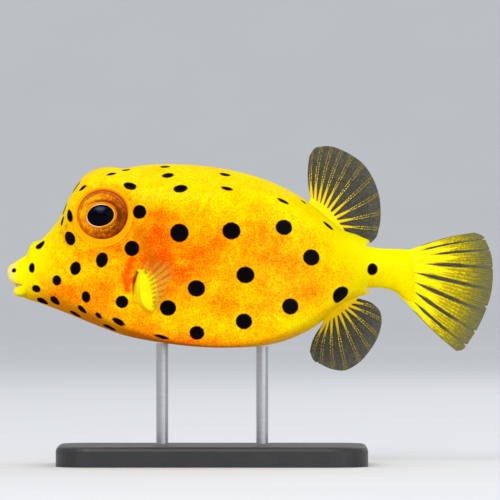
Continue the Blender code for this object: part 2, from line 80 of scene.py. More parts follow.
def add(name, data):
    """A new object that holds the data, linked to the scene."""
    made = bpy.data.objects.new(name, data)
    bpy.context.scene.collection.objects.link(made)
    return made


camera = add("camera", bpy.data.cameras.new("camera"))
bpy.context.scene.camera = camera
camera.location = (0.0, -CAMERA_AWAY, VIEW_HEIGHT_AT)
camera.rotation_euler = (math.pi / 2, 0.0, 0.0)
camera.data.sensor_width = SENSOR
camera.data.lens = SENSOR * CAMERA_AWAY / VIEW_WIDTH
camera.data.clip_start, camera.data.clip_end = SEEN_FROM_TO
camera.data.dof.use_dof = False

# %% [markdown]
# Drawn curves are needed all over: the back, the belly, a fin's edge. A few knots and a
# cubic between each two give a smooth line that never swings far beyond its knots. The slope at a
# knot is the mean of the two chords beside it, each weighted by the other's length.

# %% Smooth lines through knots


def smooth(x, y, at):
    """Cubic pieces through knots y at x, read at every place in at; y may hold whole arrays."""
    x, y, at = np.asarray(x, float), np.asarray(y, float), np.asarray(at, float).ravel()
    deep = (-1,) + (1,) * (y.ndim - 1)
    step = np.diff(x).reshape(deep)
    chord = np.diff(y, axis=0) / step
    inner = (chord[:-1] * step[1:] + chord[1:] * step[:-1]) / (step[1:] + step[:-1])
    slope = np.concatenate([chord[:1], inner, chord[-1:]])
    at = np.clip(at, x[0], x[-1])
    i = np.clip(np.searchsorted(x, at, side="right") - 1, 0, len(x) - 2)
    t = ((at - x[i]) / (x[i + 1] - x[i])).reshape(deep)
    start = y[i] * (1 + 2 * t) + step[i] * slope[i] * t
    end = y[i + 1] * (3 - 2 * t) - step[i] * slope[i + 1] * (1 - t)
    return start * (1 - t) ** 2 + end * t * t


def line(knots, at, column=1):
    """One column of a list of knots as a smooth line over its first column."""
    table = np.array(knots, float)
    return smooth(table[:, 0], table[:, column], at).reshape(np.shape(at))


def ease(value, low, high):
    """0 below low, 1 above high, and a smooth step 3t^2 - 2t^3 between."""
    t = np.clip((value - low) / (high - low), 0, 1)
    return t * t * (3 - 2 * t)


def hill(value, width):
    """A bell: exp(-(value / width)^2)."""
    return np.exp(-((value / width) ** 2))


# %% [markdown]
# A surface is an array of points, one row for each step along it and one column for each step
# across. Turning such a grid into a mesh is the same for every piece, so it is written once: four
# neighbours make a face, a ring closes on itself, and rings end in a pole at either end. The sign
# of the enclosed volume tells whether the faces look outwards, and turns them if they don't.

# %% Grids into meshes


def grid_faces(rows, columns, ring):
    """Corner numbers of the faces of a grid; a ring's last column is followed by its first."""
    number = np.arange(rows * columns).reshape(rows, columns)
    if ring:
        number = np.concatenate([number, number[:, :1]], 1)
    corners = (number[:-1, :-1], number[:-1, 1:], number[1:, 1:], number[1:, :-1])
    return np.stack(corners, -1).reshape(-1, 4)


def volume(points, faces):
    """Six times the volume inside faces, each split into triangles from its first corner."""
    total = 0.0
    for a, b in ((1, 2), (2, 3)):
        corner, left, right = points[faces[:, 0]], points[faces[:, a]], points[faces[:, b]]
        total += float(np.einsum("ij,ij->", corner, np.cross(left, right)))
    return total


def make_piece(name, points, faces, fields, material, nodes):
    """A smooth mesh object at the origin from millimetre points, carrying its fields as attributes."""
    if volume(points, faces) < 0:
        faces = faces[:, ::-1]
    lists = [[c for n, c in enumerate(face) if c not in face[:n]] for face in faces.tolist()]
    mesh = bpy.data.meshes.new(name)
    mesh.from_pydata(metres(points).tolist(), [], lists)
    for field, values in fields.items():
        attribute = mesh.attributes.new(field, "FLOAT", "POINT")
        attribute.data.foreach_set("value", np.ravel(values).astype(np.float32))
    mesh.shade_smooth()
    mesh.materials.append(material)
    piece = add(name, mesh)
    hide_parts(*nodes)
    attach(piece, "root")
    print("%s: %d points, %d faces" % (name, len(points), len(lists)))


def closed_piece(name, rings, poles, fields, material, slot, nodes, at_poles=None):
    """A piece from rings of points that end in two poles, with a value for the fields at both.

    Without one, a pole takes its fields from the ring beside it.
    """
    count, round_ = rings.shape[:2]
    ring = np.arange(round_)
    after = (ring + 1) % round_
    last = (count - 1) * round_
    pole = np.full(round_, count * round_)
    faces = np.concatenate([grid_faces(count, round_, True), np.stack([pole, after, ring, ring], -1),
                            np.stack([pole + 1, last + ring, last + after, last + after], -1)])
    carried = {}
    for field, values in fields.items():
        ends = (values[0, 0], values[-1, 0]) if at_poles is None else (at_poles, at_poles)
        carried[field] = np.append(values, ends)
    points = np.concatenate([rings.reshape(-1, 3), poles])
    make_piece(name, points, faces, carried, material, nodes)


# %% [markdown]
# Shader maths reads best as the formula it is. The small class below holds one socket of a
# material, and Python's own operators add the Math nodes, so a mask can be written as
# 1 - ring * grain. A loop gives the class its operators, each with its reflected form. Any other
# node comes from one method that takes its kind, its settings and what goes into its sockets.

# %% Materials written as formulas


def tone(red, green, blue):
    """A colour as a screen shows it, 0 to 255, as the linear light that a shader works in."""
    shares = np.array([red, green, blue]) / 255
    linear = np.where(shares > 0.04045, ((shares + 0.055) / 1.055) ** 2.4, shares / 12.92)
    return (*linear.tolist(), 1.0)


class Wire:
    """The output of a node, with operators that add Math nodes."""

    def __init__(self, paint, socket):
        self.paint = paint
        self.socket = socket

    def maths(self, operation, *others, swapped=False):
        """A Math node of this value and others; swapped puts this one last."""
        values = (*others, self) if swapped else (self, *others)
        return self.paint.node("ShaderNodeMath", {"operation": operation}, dict(enumerate(values)))

    def __abs__(self):
        return self.maths("ABSOLUTE")

    def clear(self):
        """The value held between 0 and 1."""
        return self.maths("MAXIMUM", 0.0).maths("MINIMUM", 1.0)

    def step(self, low, high):
        """0 at low and 1 at high, smooth between; low may be the greater."""
        sockets = {"Value": self, "From Min": low, "From Max": high}
        return self.paint.node("ShaderNodeMapRange", {"interpolation_type": "SMOOTHSTEP"}, sockets)

    def band(self, low, full, still_full, high):
        """0 at low, 1 from full to still_full, and 0 again at high."""
        return self.step(low, full) * self.step(high, still_full)


def operator(operation, swapped):
    """A Python operator that adds a Math node, or its reflected form."""
    return lambda wire, other: wire.maths(operation, other, swapped=swapped)


for word, operation in (("add", "ADD"), ("sub", "SUBTRACT"), ("mul", "MULTIPLY"), ("truediv", "DIVIDE"),
                        ("pow", "POWER")):
    setattr(Wire, "__%s__" % word, operator(operation, False))
    setattr(Wire, "__r%s__" % word, operator(operation, True))


class Paint:
    """A material under way: its nodes, its Principled shader and ways to add to both."""

    def __init__(self, name, fixed):
        self.material = bpy.data.materials.new(name)
        self.material.use_nodes = True
        self.tree = self.material.node_tree
        self.shader = self.tree.nodes["Principled BSDF"]
        for socket, value in fixed.items():
            self.shader.inputs[socket].default_value = value

    def node(self, kind, settings, sockets, output=0):
        """A node of any kind: settings first, then values or wires into its sockets."""
        made = self.tree.nodes.new(kind)
        for setting, value in settings.items():
            setattr(made, setting, value)
        for socket, value in sockets.items():
            self.feed(made.inputs[socket], value)
        return Wire(self, made.outputs[output])

    def feed(self, socket, value):
        if isinstance(value, Wire):
            self.tree.links.new(value.socket, socket)
        else:
            socket.default_value = value

    def set(self, **sockets):
        """Feed the shader: base_color=..., normal=... and so on."""
        for name, value in sockets.items():
            self.feed(self.shader.inputs[name.replace("_", " ").title()], value)

    def field(self, name):
        """A value that the mesh carries at its points."""
        return self.node("ShaderNodeAttribute", {"attribute_name": name}, {}, 2)

    def place(self, stretch=(1.0, 1.0, 1.0)):
        """Object coordinates in millimetres, stretched."""
        where = self.node("ShaderNodeTexCoord", {}, {}, 3)
        scale = [s / MM for s in stretch]
        return self.node("ShaderNodeVectorMath", {"operation": "MULTIPLY"}, {0: where, 1: scale})

    def noise(self, where, size, detail=2.0, rough=0.5):
        """Soft noise from 0 to 1 whose features are about size millimetres wide."""
        sockets = {"Vector": where, "Scale": 1 / size, "Detail": detail, "Roughness": rough}
        return self.node("ShaderNodeTexNoise", {}, sockets)

    def cells(self, where, size):
        """Cells about size millimetres wide: the distance to the nearest one's middle."""
        return self.node("ShaderNodeTexVoronoi", {}, {"Vector": where, "Scale": 1 / size})

    def vector(self, *parts):
        """A vector from three numbers."""
        return self.node("ShaderNodeCombineXYZ", {}, dict(enumerate(parts)))

    def blend(self, share, below, above):
        """A colour between two, by a share from 0 to 1."""
        return self.node("ShaderNodeMix", {"data_type": "RGBA"}, {0: share, 6: below, 7: above}, 2)

    def over(self, base, *coats):
        """A colour with coats laid over it one by one, each a share and a colour."""
        for share, colour in coats:
            base = self.blend(share, base, colour)
        return base

    def ramp(self, value, stops):
        """A colour read from stops of (place, colour)."""
        made = self.node("ShaderNodeValToRGB", {}, {"Fac": value})
        band = made.socket.node.color_ramp
        while len(band.elements) < len(stops):
            band.elements.new(0.5)
        for element, (place, colour) in zip(band.elements, stops):
            element.position = place
            element.color = colour
        return made

    def bump(self, height, deep):
        """A normal from a height in shares of deep millimetres."""
        return self.node("ShaderNodeBump", {}, {"Height": height, "Distance": deep * MM, "Strength": 1.0})


# %% [markdown]
# The case of a boxfish is drawn by a few long lines: back and belly on the middle plane, an upper
# ridge and a keel on each side, and the half width. A cross-section follows knots that lie between
# an oval, right for the snout and the stem, and a rounded box, right for the middle. Lofting boxes
# would give hard plates; knots with smooth lines between them keep the soft swollen look of skin.

# %% Lines of the body
BACK_LINE = ((4, 3), (4.5, 4.2), (6.8, 5.7), (9.2, 8.2), (10.7, 10.4), (12.2, 13.7), (13.8, 16.4),
             (15.4, 18.4), (17.4, 19.6), (20.6, 20.2), (23.2, 19.95), (27, 20.5), (36, 20.65),
             (44, 19.7), (52, 17.5), (57, 15.2), (60, 13.3), (62.6, 11.3), (64.6, 9.6), (67.2, 7.6),
             (70.3, 6.3), (71.4, 5.3), (72.1, 4.5), (72.9, 4.25), (79, 3.75), (82, 3.5))
BELLY_LINE = ((4, -6.2), (6.2, -6.9), (10.6, -8.5), (17, -11.1), (23.4, -13.4), (31.4, -14.8),
              (44.2, -15.6), (50, -15.5), (55.4, -14.5), (58.6, -13.3), (61.4, -11.8), (63.4, -10.2),
              (65.2, -8.5), (67.2, -7), (69.2, -6.1), (70.3, -5.6), (71.4, -4.8), (72.1, -4.1),
              (72.9, -4), (76.4, -4.3), (78, -5), (79, -6), (80.5, -6.9), (82, -7.2))
RIDGE_LINE = ((4, 1.5), (6.8, 4), (9.8, 6.8), (12.2, 10.6), (15.4, 14.9), (18.6, 16.7), (24.6, 15.7),
              (38, 14.4), (48.6, 13.6), (54.6, 12.2), (59.8, 10), (65.2, 6.2), (71.4, 3.4), (79, 1.5),
              (82, 1.4))
KEEL_LINE = ((4, -4.6), (10.6, -6.6), (15, -8), (21, -9.9), (31, -12.2), (38, -12.8), (47.2, -12.9),
             (56.6, -11.2), (62.2, -8.4), (66.6, -5.6), (71.4, -3.4), (79, -4), (82, -4.4))
HALF_WIDTH_MOST = 16.0
WIDTH_LINE = ((4, 0.2), (5, 0.237), (6.2, 0.3), (8.6, 0.42), (13.8, 0.64), (20.2, 0.81), (26, 0.91),
              (34, 0.98), (44, 1), (52, 0.96), (58, 0.87), (63, 0.73), (67, 0.55), (70.3, 0.34),
              (71.4, 0.285), (72.1, 0.255), (72.9, 0.23), (76, 0.165), (79, 0.12), (80.5, 0.08),
              (82, 0.015))
BOX_LINE = ((4, 0), (8, 0.3), (14, 0.75), (22, 1), (60, 1), (68, 0.7), (71.4, 0), (82, 0))

# The rounded box: way round from back (0) to belly (1), share of half width, and level, where
# 3 is the back, 2 the upper ridge, 1 the keel and 0 the belly; the first and last are mirror images
BOX_SECTION = ((-0.12, -0.4, 2.88), (0, 0, 3), (0.12, 0.4, 2.88), (0.22, 0.69, 2.48), (0.3, 0.845, 2),
               (0.38, 0.91, 1.76), (0.5, 0.96, 1.42), (0.6, 0.99, 1.14), (0.67, 0.965, 0.88),
               (0.74, 0.86, 0.44), (0.85, 0.54, 0.1), (1, 0, 0), (1.15, -0.54, 0.1))

# The case ends in a point over the stem and one under it: (station, shift towards the tail)
POINT_SHIFT = ((69, 0), (70.3, 0.4), (71.4, 1.1), (72.1, -0.6), (72.9, 0))
POINT_REACH = 0.22
BELLY_POINT = 1.0
FACE_AT = 4.0
SKIN_END = 82.0


def box_case(station, way):
    """Points of the body's right half before its eye is set in.

    The height and half width of thirteen knots are worked out at each station, between those of
    a rounded box and of an oval, and a smooth line through them is read at each way round.
    """
    shape = np.shape(station)
    station, way = np.ravel(station), np.ravel(way)
    back, belly, ridge, keel = (
        line(knots, station)[:, None] for knots in (BACK_LINE, BELLY_LINE, RIDGE_LINE, KEEL_LINE))
    boxy = line(BOX_LINE, station)[:, None]
    at, share, level = np.array(BOX_SECTION).T
    upper = ridge + (level - 2) * (back - ridge)
    side = keel + (level - 1) * (ridge - keel)
    lower = belly + level * (keel - belly)
    box = np.where(level > 2, upper, np.where(level > 1, side, lower))
    oval = (back + belly) / 2 + (back - belly) / 2 * np.cos(math.pi * at)
    weight = smooth(at, np.eye(len(at)), way)
    height = (weight * (boxy * box + (1 - boxy) * oval)).sum(1)
    wide = HALF_WIDTH_MOST * line(WIDTH_LINE, station)
    breadth = wide * (weight * (boxy * share + (1 - boxy) * np.sin(math.pi * at))).sum(1)
    near_back = np.clip(1 - way / POINT_REACH, 0, 1) ** 2
    near_belly = BELLY_POINT * np.clip(1 - (1 - way) / POINT_REACH, 0, 1) ** 2
    behind = station + line(POINT_SHIFT, station) * (near_back + near_belly)
    return np.stack([behind, breadth, height], -1).reshape(*shape, 3)


# %% [markdown]
# The eye sits high in the head, in a round orbit that swells the skin. The skin under it is first
# flattened square to the eye's axis, with a soft skirt, and then given the orbit's profile: a lid
# that hugs the eyeball, a shallow furrow, an outer fold and a socket inside. A profile that is a
# function of the distance from the axis keeps every fold a true circle.

# %% Orbit and socket
EYE_AT = np.array([19.3, 11.7, 10.55])
LID_TALL = 0.945
EYE_RADIUS = 5.6
EYE_DEPTH = 4.6
EYE_SHOWS = 2.3
EYE_FORWARD_TILT = math.radians(9.0)
EYE_UP_TILT = math.radians(7.0)
ORBIT_SKIRT = 10.0
ORBIT_FLAT = 6.4
ORBIT_SOFTNESS = 0.45
ORBIT_EDGE = (7.4, 6.0)
ORBIT_LEVEL = 0.08
ORBIT_PROFILE = ((0, -2.6), (3.6, -2.4), (4.4, -1.7), (4.75, -0.95), (4.95, -0.38), (5.08, -0.02),
                 (5.22, 0.2), (5.36, 0.24), (5.52, 0.15), (5.68, 0.1), (5.82, 0.18), (5.96, 0.22),
                 (6.12, 0.12), (6.3, 0.05), (6.48, 0.07), (6.7, 0.02), (7.3, 0))


def eye_frame(side):
    """Three directions at an eye: backwards along the skin, upwards along it, and straight out."""
    out = np.array([-math.sin(EYE_FORWARD_TILT) * math.cos(EYE_UP_TILT),
                    side * math.cos(EYE_FORWARD_TILT) * math.cos(EYE_UP_TILT), math.sin(EYE_UP_TILT)])
    back = np.cross(out, (0.0, 0.0, 1.0)) * side
    back /= np.linalg.norm(back)
    return back, np.cross(back, out) * side, out


def eye_places(points, side=RIGHT):
    """How far points are back, up and out from an eye's middle, in its own directions."""
    offset = points - EYE_AT * (1, side, 1)
    return np.stack([offset @ direction for direction in eye_frame(side)], -1)


def swollen(points):
    """Skin raised to the flat round the eye, fading out over the orbit's skirt."""
    back, up, out = np.moveaxis(eye_places(points), -1, 0)
    reach = np.hypot(back, up)
    fade = ease(reach, ORBIT_SKIRT, ORBIT_FLAT)
    rise = 0.5 * (np.sqrt(out ** 2 + ORBIT_SOFTNESS ** 2) - out) * fade
    raised = points.copy()
    raised[..., 1] += rise / eye_frame(RIGHT)[2][1]
    return raised


def set_orbit(points):
    """Skin flattened at the eye and given the orbit's profile along the eye's axis."""
    back, up, out = np.moveaxis(eye_places(points), -1, 0)
    reach = np.hypot(back, up / LID_TALL)
    flat = ease(reach, *ORBIT_EDGE)
    move = (ORBIT_LEVEL - out) * flat + line(ORBIT_PROFILE, reach)
    return points + move[..., None] * eye_frame(RIGHT)[2]


def case(station, way):
    return swollen(box_case(station, way))


# %% [markdown]
# A grid spread evenly over the body is too coarse for the folds round the eye. Rather than make
# the whole skin finer, its lines are drawn together there: each place on the grid slides over the
# skin, towards a circle near the lid, and a few Newton steps find the station and way it slides to.

# %% Grid lines crowded round the eye
CROWD = ((0.0, 0.0), (2.6, 4.45), (4.2, 5.15), (6.6, 6.35), (8.2, 7.9), (10.0, 10.0))
NEWTON_STEPS = 8


def crowded(station, way):
    """Stations and ways slid over the skin so that a reach r from the eye becomes CROWD(r)."""
    station, way = station.copy(), way.copy()
    here = eye_places(case(station, way))
    reach = np.hypot(here[..., 0], here[..., 1])
    near = (reach < CROWD[-1][0] - 0.05) & (here[..., 2] > -8)
    s, w, reach = station[near], way[near], reach[near]
    goal = here[near][:, :2] * (line(CROWD, reach) / np.maximum(reach, 0.01))[:, None]
    ds, dw = 0.05, 0.002
    for _ in range(NEWTON_STEPS):
        now = eye_places(case(s, w))[:, :2]
        a = (eye_places(case(s + ds, w))[:, :2] - now) / ds
        b = (eye_places(case(s, w + dw))[:, :2] - now) / dw
        miss = goal - now
        area = a[:, 0] * b[:, 1] - a[:, 1] * b[:, 0]
        s = s + np.clip((miss[:, 0] * b[:, 1] - miss[:, 1] * b[:, 0]) / area, -1, 1)
        w = w + np.clip((a[:, 0] * miss[:, 1] - a[:, 1] * miss[:, 0]) / area, -0.03, 0.03)
    station[near], way[near] = s, w
    print("eye: %d places slid, furthest miss %.3f mm" % (near.sum(), np.abs(miss).max()))
    return station, way


# %% [markdown]
# The mouth is small and points forward, with a swollen upper lip over a thinner lower one. Its
# rings run out of the mouth, over the rims of the lips and back to the face, so the pole of the
# whole skin is hidden inside the mouth. Each ring has five knots from top to bottom: distance
# behind the tip, half width and height.

# %% Lips
LIP_WAYS = (0.0, 0.25, 0.5, 0.75, 1.0)
MOUTH_POLE = (3.0, 0.0, -3.55)
LIP_RINGS = (
    ((2.5, 0.0, -3.36), (2.6, 0.9, -3.38), (3.0, 1.7, -3.45), (2.6, 0.9, -3.62), (2.5, 0.0, -3.64)),
    ((1.75, 0.0, -3.38), (2.05, 1.25, -3.32), (3.0, 2.15, -3.42), (2.1, 1.25, -3.66), (1.8, 0.0, -3.62)),
    ((1.1, 0.0, -3.15), (1.6, 1.6, -3.1), (3.1, 2.4, -3.40), (1.8, 1.45, -3.85), (1.45, 0.0, -3.95)),
    ((0.35, 0.0, -2.3), (1.0, 1.75, -2.35), (3.25, 2.6, -3.3), (1.6, 1.6, -4.35), (1.24, 0.0, -4.7)),
    ((0.0, 0.0, -0.75), (0.85, 1.85, -1.25), (3.4, 2.78, -2.9), (1.85, 1.75, -4.85), (1.45, 0.0, -5.3)),
    ((0.45, 0.0, 0.42), (1.5, 2.05, -0.25), (3.55, 2.92, -2.5), (2.4, 1.95, -5.25), (2.1, 0.0, -5.62)),
    ((1.5, 0.0, 1.1), (2.5, 2.2, 0.5), (3.75, 3.05, -2.1), (3.1, 2.15, -5.3), (2.8, 0.0, -5.72)),
    ((3.6, 0.0, 2.45), (3.75, 2.25, 1.35), (3.95, 3.15, -1.7), (3.8, 2.25, -5.0), (3.6, 0.0, -6.02)),
)
LIP_ROWS = 44


def lips(ways):
    """The lips' right half: smooth lines round each ring, then smooth lines across the rings."""
    last = box_case(*np.meshgrid((FACE_AT, FACE_AT + 0.08, FACE_AT + 0.2), ways, indexing="ij"))
    at = (-0.25, *LIP_WAYS, 1.25)
    rings = []
    for ring in LIP_RINGS:
        knots = np.array(ring)
        over, under = knots[1] * (1, -1, 1), knots[-2] * (1, -1, 1)
        rings.append(smooth(at, np.concatenate([[over], knots, [under]]), ways))
    rings = np.concatenate([rings, last])
    places = (*range(len(LIP_RINGS)), len(LIP_RINGS) + 0.3, len(LIP_RINGS) + 0.7, len(LIP_RINGS) + 1.3)
    return smooth(places, rings, np.linspace(0, places[-3], LIP_ROWS, endpoint=False))


# %% [markdown]
# Rows stand closer where the forms are small: at the face, the eye, the gills and the two points
# of the case. Columns are spread by their length over the skin, again with more beside the eye.

# %% The grid of the skin
ROW_STEPS = ((4, 0.08), (5, 0.16), (11.5, 0.16), (13, 0.17), (25, 0.17), (27.5, 0.2), (30, 0.36),
             (66, 0.38), (69.5, 0.16), (71.2, 0.06), (72.4, 0.06), (73.2, 0.14), (75, 0.34),
             (79.5, 0.2), (82, 0.12))
HALF_COLUMNS = 122
EYE_WAYS = (0.27, 0.49)


def rows_along():
    """Stations whose spacing follows ROW_STEPS."""
    found = [FACE_AT]
    while found[-1] < SKIN_END:
        found.append(found[-1] + float(line(ROW_STEPS, found[-1])))
    return np.minimum(np.array(found), SKIN_END)


def ways_round():
    """Ways from back to belly, spread by their length on the skin and closer beside the eye."""
    fine = np.linspace(0, 1, 801)
    length = 0
    for station in (EYE_AT[0], 44.0):
        section = box_case(np.full(fine.shape, station), fine)
        length = length + np.linalg.norm(np.gradient(section, fine, axis=0), axis=1)
    beside_eye = ease(fine, EYE_WAYS[0] - 0.05, EYE_WAYS[0]) * ease(fine, EYE_WAYS[1] + 0.05, EYE_WAYS[1])
    share = np.cumsum(length * (1 + 1.1 * beside_eye))
    share = (share - share[0]) / (share[-1] - share[0])
    return np.interp(np.linspace(0, 1, HALF_COLUMNS + 1), share, fine)


ways = ways_round()
stations, around = np.meshgrid(rows_along(), ways, indexing="ij")
stations, around = crowded(stations, around)
half = np.concatenate([lips(ways), set_orbit(case(stations, around))])
print("skin: %d rows, %d columns on each side" % half.shape[:2])

# %% [markdown]
# Three small openings are pressed into the skin: two rimmed nostrils before the eye, and the gill
# slit, a crescent that the pectoral fin covers in part. A boxfish has no movable gill cover, so a
# slit is all that shows. Each is a bell-shaped dent, a function of the distance to its place.

# %% Nostrils and gill slit
NOSTRILS = ((12.0, 8.2), (10.9, 7.0))
NOSTRIL_RADIUS = 0.36
NOSTRIL_DEEP = 0.5
GILL_CURVE = ((26.35, -0.5), (25.95, -1.5), (25.55, -2.9), (25.4, -4.4), (25.5, -6), (25.9, -7.6),
              (26.6, -9))
GILL_HALF_WIDTH = 0.2
GILL_DEEP = 0.75


def to_curve(points, knots):
    """Distance, seen from the side, from points to a curve through (behind, height) knots."""
    at = np.linspace(0, len(knots) - 1, 80)
    curve = smooth(np.arange(len(knots)), np.array(knots), at)
    flat = points[..., (0, 2)]
    near = np.full(flat.shape[:-1], 99.0)
    box = (np.abs(flat - curve.mean(0)) < 8).all(-1) & (np.abs(points[..., 1]) > 3)
    near[box] = np.linalg.norm(flat[box][:, None] - curve, axis=-1).min(1)
    return near


def to_nostrils(points):
    """Distance, seen from the side, from points to the nearer nostril."""
    found = [np.hypot(points[..., 0] - b, points[..., 2] - h) for b, h in NOSTRILS]
    return np.minimum(*found) + 99.0 * (np.abs(points[..., 1]) < 2)


gill = to_curve(half, GILL_CURVE) + 1.2 * GILL_HALF_WIDTH * ease(half[..., 2], -3.2, -6.5)
nostril = to_nostrils(half)
inwards = GILL_DEEP * hill(gill, GILL_HALF_WIDTH) + NOSTRIL_DEEP * hill(nostril, 0.75 * NOSTRIL_RADIUS)
outwards = 0.09 * hill(nostril - 1.5 * NOSTRIL_RADIUS, 0.2) + 0.12 * hill(gill - 0.5, 0.25)
half[..., 1] += outwards - inwards
skin = np.concatenate([half, half[:, -2:0:-1] * (1, LEFT, 1)], 1)

# %% [markdown]
# The markings are what everyone knows this fish by: black spots, pupil size, in loose rows. They
# are listed as they lie in a side view, each with its place, length, breadth and turn, because a
# spot that wraps over the back is a thin slit from the side and round from above. From the list
# the mesh carries one number at each point, the distance in from the nearest spot's edge, and the
# material cuts it sharply, so the spots stay crisp on a mesh of any fineness.

# %% Spots of the left side
BACK_SPOTS = ((20.8, 18.9, 1.8, 0.4, 15), (23.7, 19.7, 1.6, 0.3, 10), (24.5, 16.5, 2.5, 1.4, -15),
              (31.5, 20.3, 2, 0.4, 3), (32.1, 18.6, 2.4, 0.9, 9), (34.6, 16, 2.7, 1.5, 9),
              (43.5, 18.8, 2.2, 0.6, -10), (43.9, 16, 2.2, 0.7, -13), (55.2, 13.6, 2.4, 0.6, -25),
              (59.1, 13.2, 1.2, 0.3, -35), (64, 8.4, 2.4, 0.5, -38))
FOREHEAD_SPOTS = ((15, 16.1, 1.8, 0.5, 38), (13.85, 16.25, 1.5, 0.3, 48), (11.5, 11.9, 1.3, 0.3, 62),
                  (11.05, 9.5, 1.2, 0.4, 60), (12.35, 10.6, 2.4, 0.9, -76), (6.6, 4.7, 2, 0.9, 35))
FLANK_SPOTS = ((26.4, 11.3, 2.7, 2.65, 90), (34.4, 7.1, 3.6, 3.6, 90), (44.8, 7.5, 3.5, 3.4, 0),
               (55.3, 8.2, 3.2, 3, 0), (24.9, 4, 3, 2.9, 90), (60.8, 2.2, 3.2, 3.2, 0),
               (47.6, -1.3, 3.5, 3.3, 0), (37.8, -4, 3.4, 3.2, 0), (73, -0.2, 2.3, 2, 90),
               (66.7, -5.35, 3.1, 2.7, 84), (56.6, -7.6, 3.2, 3.2, 0), (32.1, -7.9, 3.2, 3, 0),
               (47.3, -10.6, 3.2, 3.1, 0), (37.9, -12.9, 2.9, 2.7, 0))
CHEEK_SPOTS = ((12.4, 6, 2.05, 2.35, -12), (18.9, 1.7, 2.9, 2.3, 71), (13.6, 0, 2.6, 2.1, 68),
               (9.9, -2.4, 2, 1.7, 90), (4.9, 0.1, 1.9, 1.1, 90), (5.7, -4.1, 1.6, 1.4, 0),
               (1.3, -0.4, 0.8, 0.8, 0), (15.7, -5.7, 2.2, 1.7, -80), (22.9, -6.7, 2.5, 2.4, 0))
BELLY_SPOTS = ((9.5, -6.5, 2.2, 1.2, -36), (7, -6.6, 2, 1, -40), (15, -8.2, 2.2, 0.8, -37),
               (13.6, -9.1, 2.5, 0.6, -29), (18.2, -9.5, 1.6, 0.8, -33), (22.2, -10.7, 2.8, 1.1, -28),
               (20.4, -11.9, 2.8, 0.6, -24), (30.8, -13.7, 3.1, 0.7, -14))
SPOT_ROUND = 1.35
SPOT_DEEP = 0.45
SEEN_SHIFT = np.array([0.04, -0.08])
VIEW_AXIS = np.array([LENGTH / 2, VIEW_HEIGHT_AT / MM - AXIS_HEIGHT])
LEFT_SPOTS = np.array(BACK_SPOTS + FOREHEAD_SPOTS + FLANK_SPOTS + CHEEK_SPOTS + BELLY_SPOTS)

# Spots of the flat underside, seen from below: (distance behind, out to the side, diameter)
UNDER_SPOTS = ((24, 5.5, 1.9), (29.5, 2, 2.1), (34.5, 8, 2.2), (40.5, 3, 2.3), (44, 9.5, 2.2),
               (50.5, 4.5, 2.2), (27.5, -6, 2), (35.5, -4, 2.2), (42, -8, 2.2), (47.5, -3, 2.3),
               (53.5, -5.5, 2))


def facing(points):
    """Unit normals of the skin's grid, pointing out."""
    found = np.cross(np.gradient(points, axis=0), np.gradient(points, axis=1))
    found /= np.maximum(np.linalg.norm(found, axis=-1, keepdims=True), 1e-9)
    return found * np.sign((found * (points - points.mean(1, keepdims=True))).sum(-1, keepdims=True))


def from_side_view(place, out):
    """A place of the camera's picture, for a point that lies out to the side of the middle plane."""
    return VIEW_AXIS + (place - VIEW_AXIS) * (1 - out * MM / CAMERA_AWAY)


def within_spots(points, outward, spots, side):
    """How far, in millimetres, points lie inside the nearest spot; outside is below 0.

    A spot is an ellipse in the plane that touches the skin at its middle. Its length and breadth
    in a side view are stretched by that plane's slope, but it never gets much broader than long,
    and skin that bends away from the plane counts as further off.
    """
    best = np.full(points.shape[:-1], -9.0)
    for behind, height, length, breadth, turn in spots:
        middle = np.array([behind, 0.0, height])
        seen = np.array([behind, height]) + SEEN_SHIFT
        for _ in range(2):
            off = np.hypot(points[..., 0] - middle[0], points[..., 2] - middle[2])
            here = np.unravel_index((off + 9 * (outward[..., 1] * side < 0.06)).argmin(), off.shape)
            flat = from_side_view(seen, abs(points[here][1]))
            middle = np.array([flat[0], points[here][1], flat[1]])
        normal = outward[here]
        c, s = math.cos(math.radians(turn)), math.sin(math.radians(turn))
        along = np.array([c, -(normal[0] * c + normal[2] * s) / normal[1], s])
        across = np.array([-s, (normal[0] * s - normal[2] * c) / normal[1], c])
        long_half = length / 2 * min(np.linalg.norm(along), 1.8)
        wide_half = min(breadth / 2 * np.linalg.norm(across), SPOT_ROUND * long_half)
        along /= np.linalg.norm(along)
        off = points - middle
        ahead = off @ along
        beside = np.hypot(off @ np.cross(normal, along), SPOT_DEEP * (off @ normal))
        inside = 1 - np.hypot(ahead / long_half, beside / wide_half)
        best = np.maximum(best, inside * min(wide_half, long_half))
    return best


def within_under_spots(points):
    """The same for the underside, where a spot is round seen from below."""
    best = np.full(points.shape[:-1], -9.0)
    for behind, side, size in UNDER_SPOTS:
        best = np.maximum(best, size / 2 - np.hypot(points[..., 0] - behind, points[..., 1] - side))
    return np.where(points[..., 2] < line(KEEL_LINE, points[..., 0]), best, -9.0)


# %% [markdown]
# No fish is the same on both sides, so the right side takes the left side's spots with each one
# shifted and resized a little by a seeded draw.

# %% Spots of the right side
SPOT_SHIFT = 0.7
SPOT_CHANGE = 0.09
CREST_CLEAR = 1.3

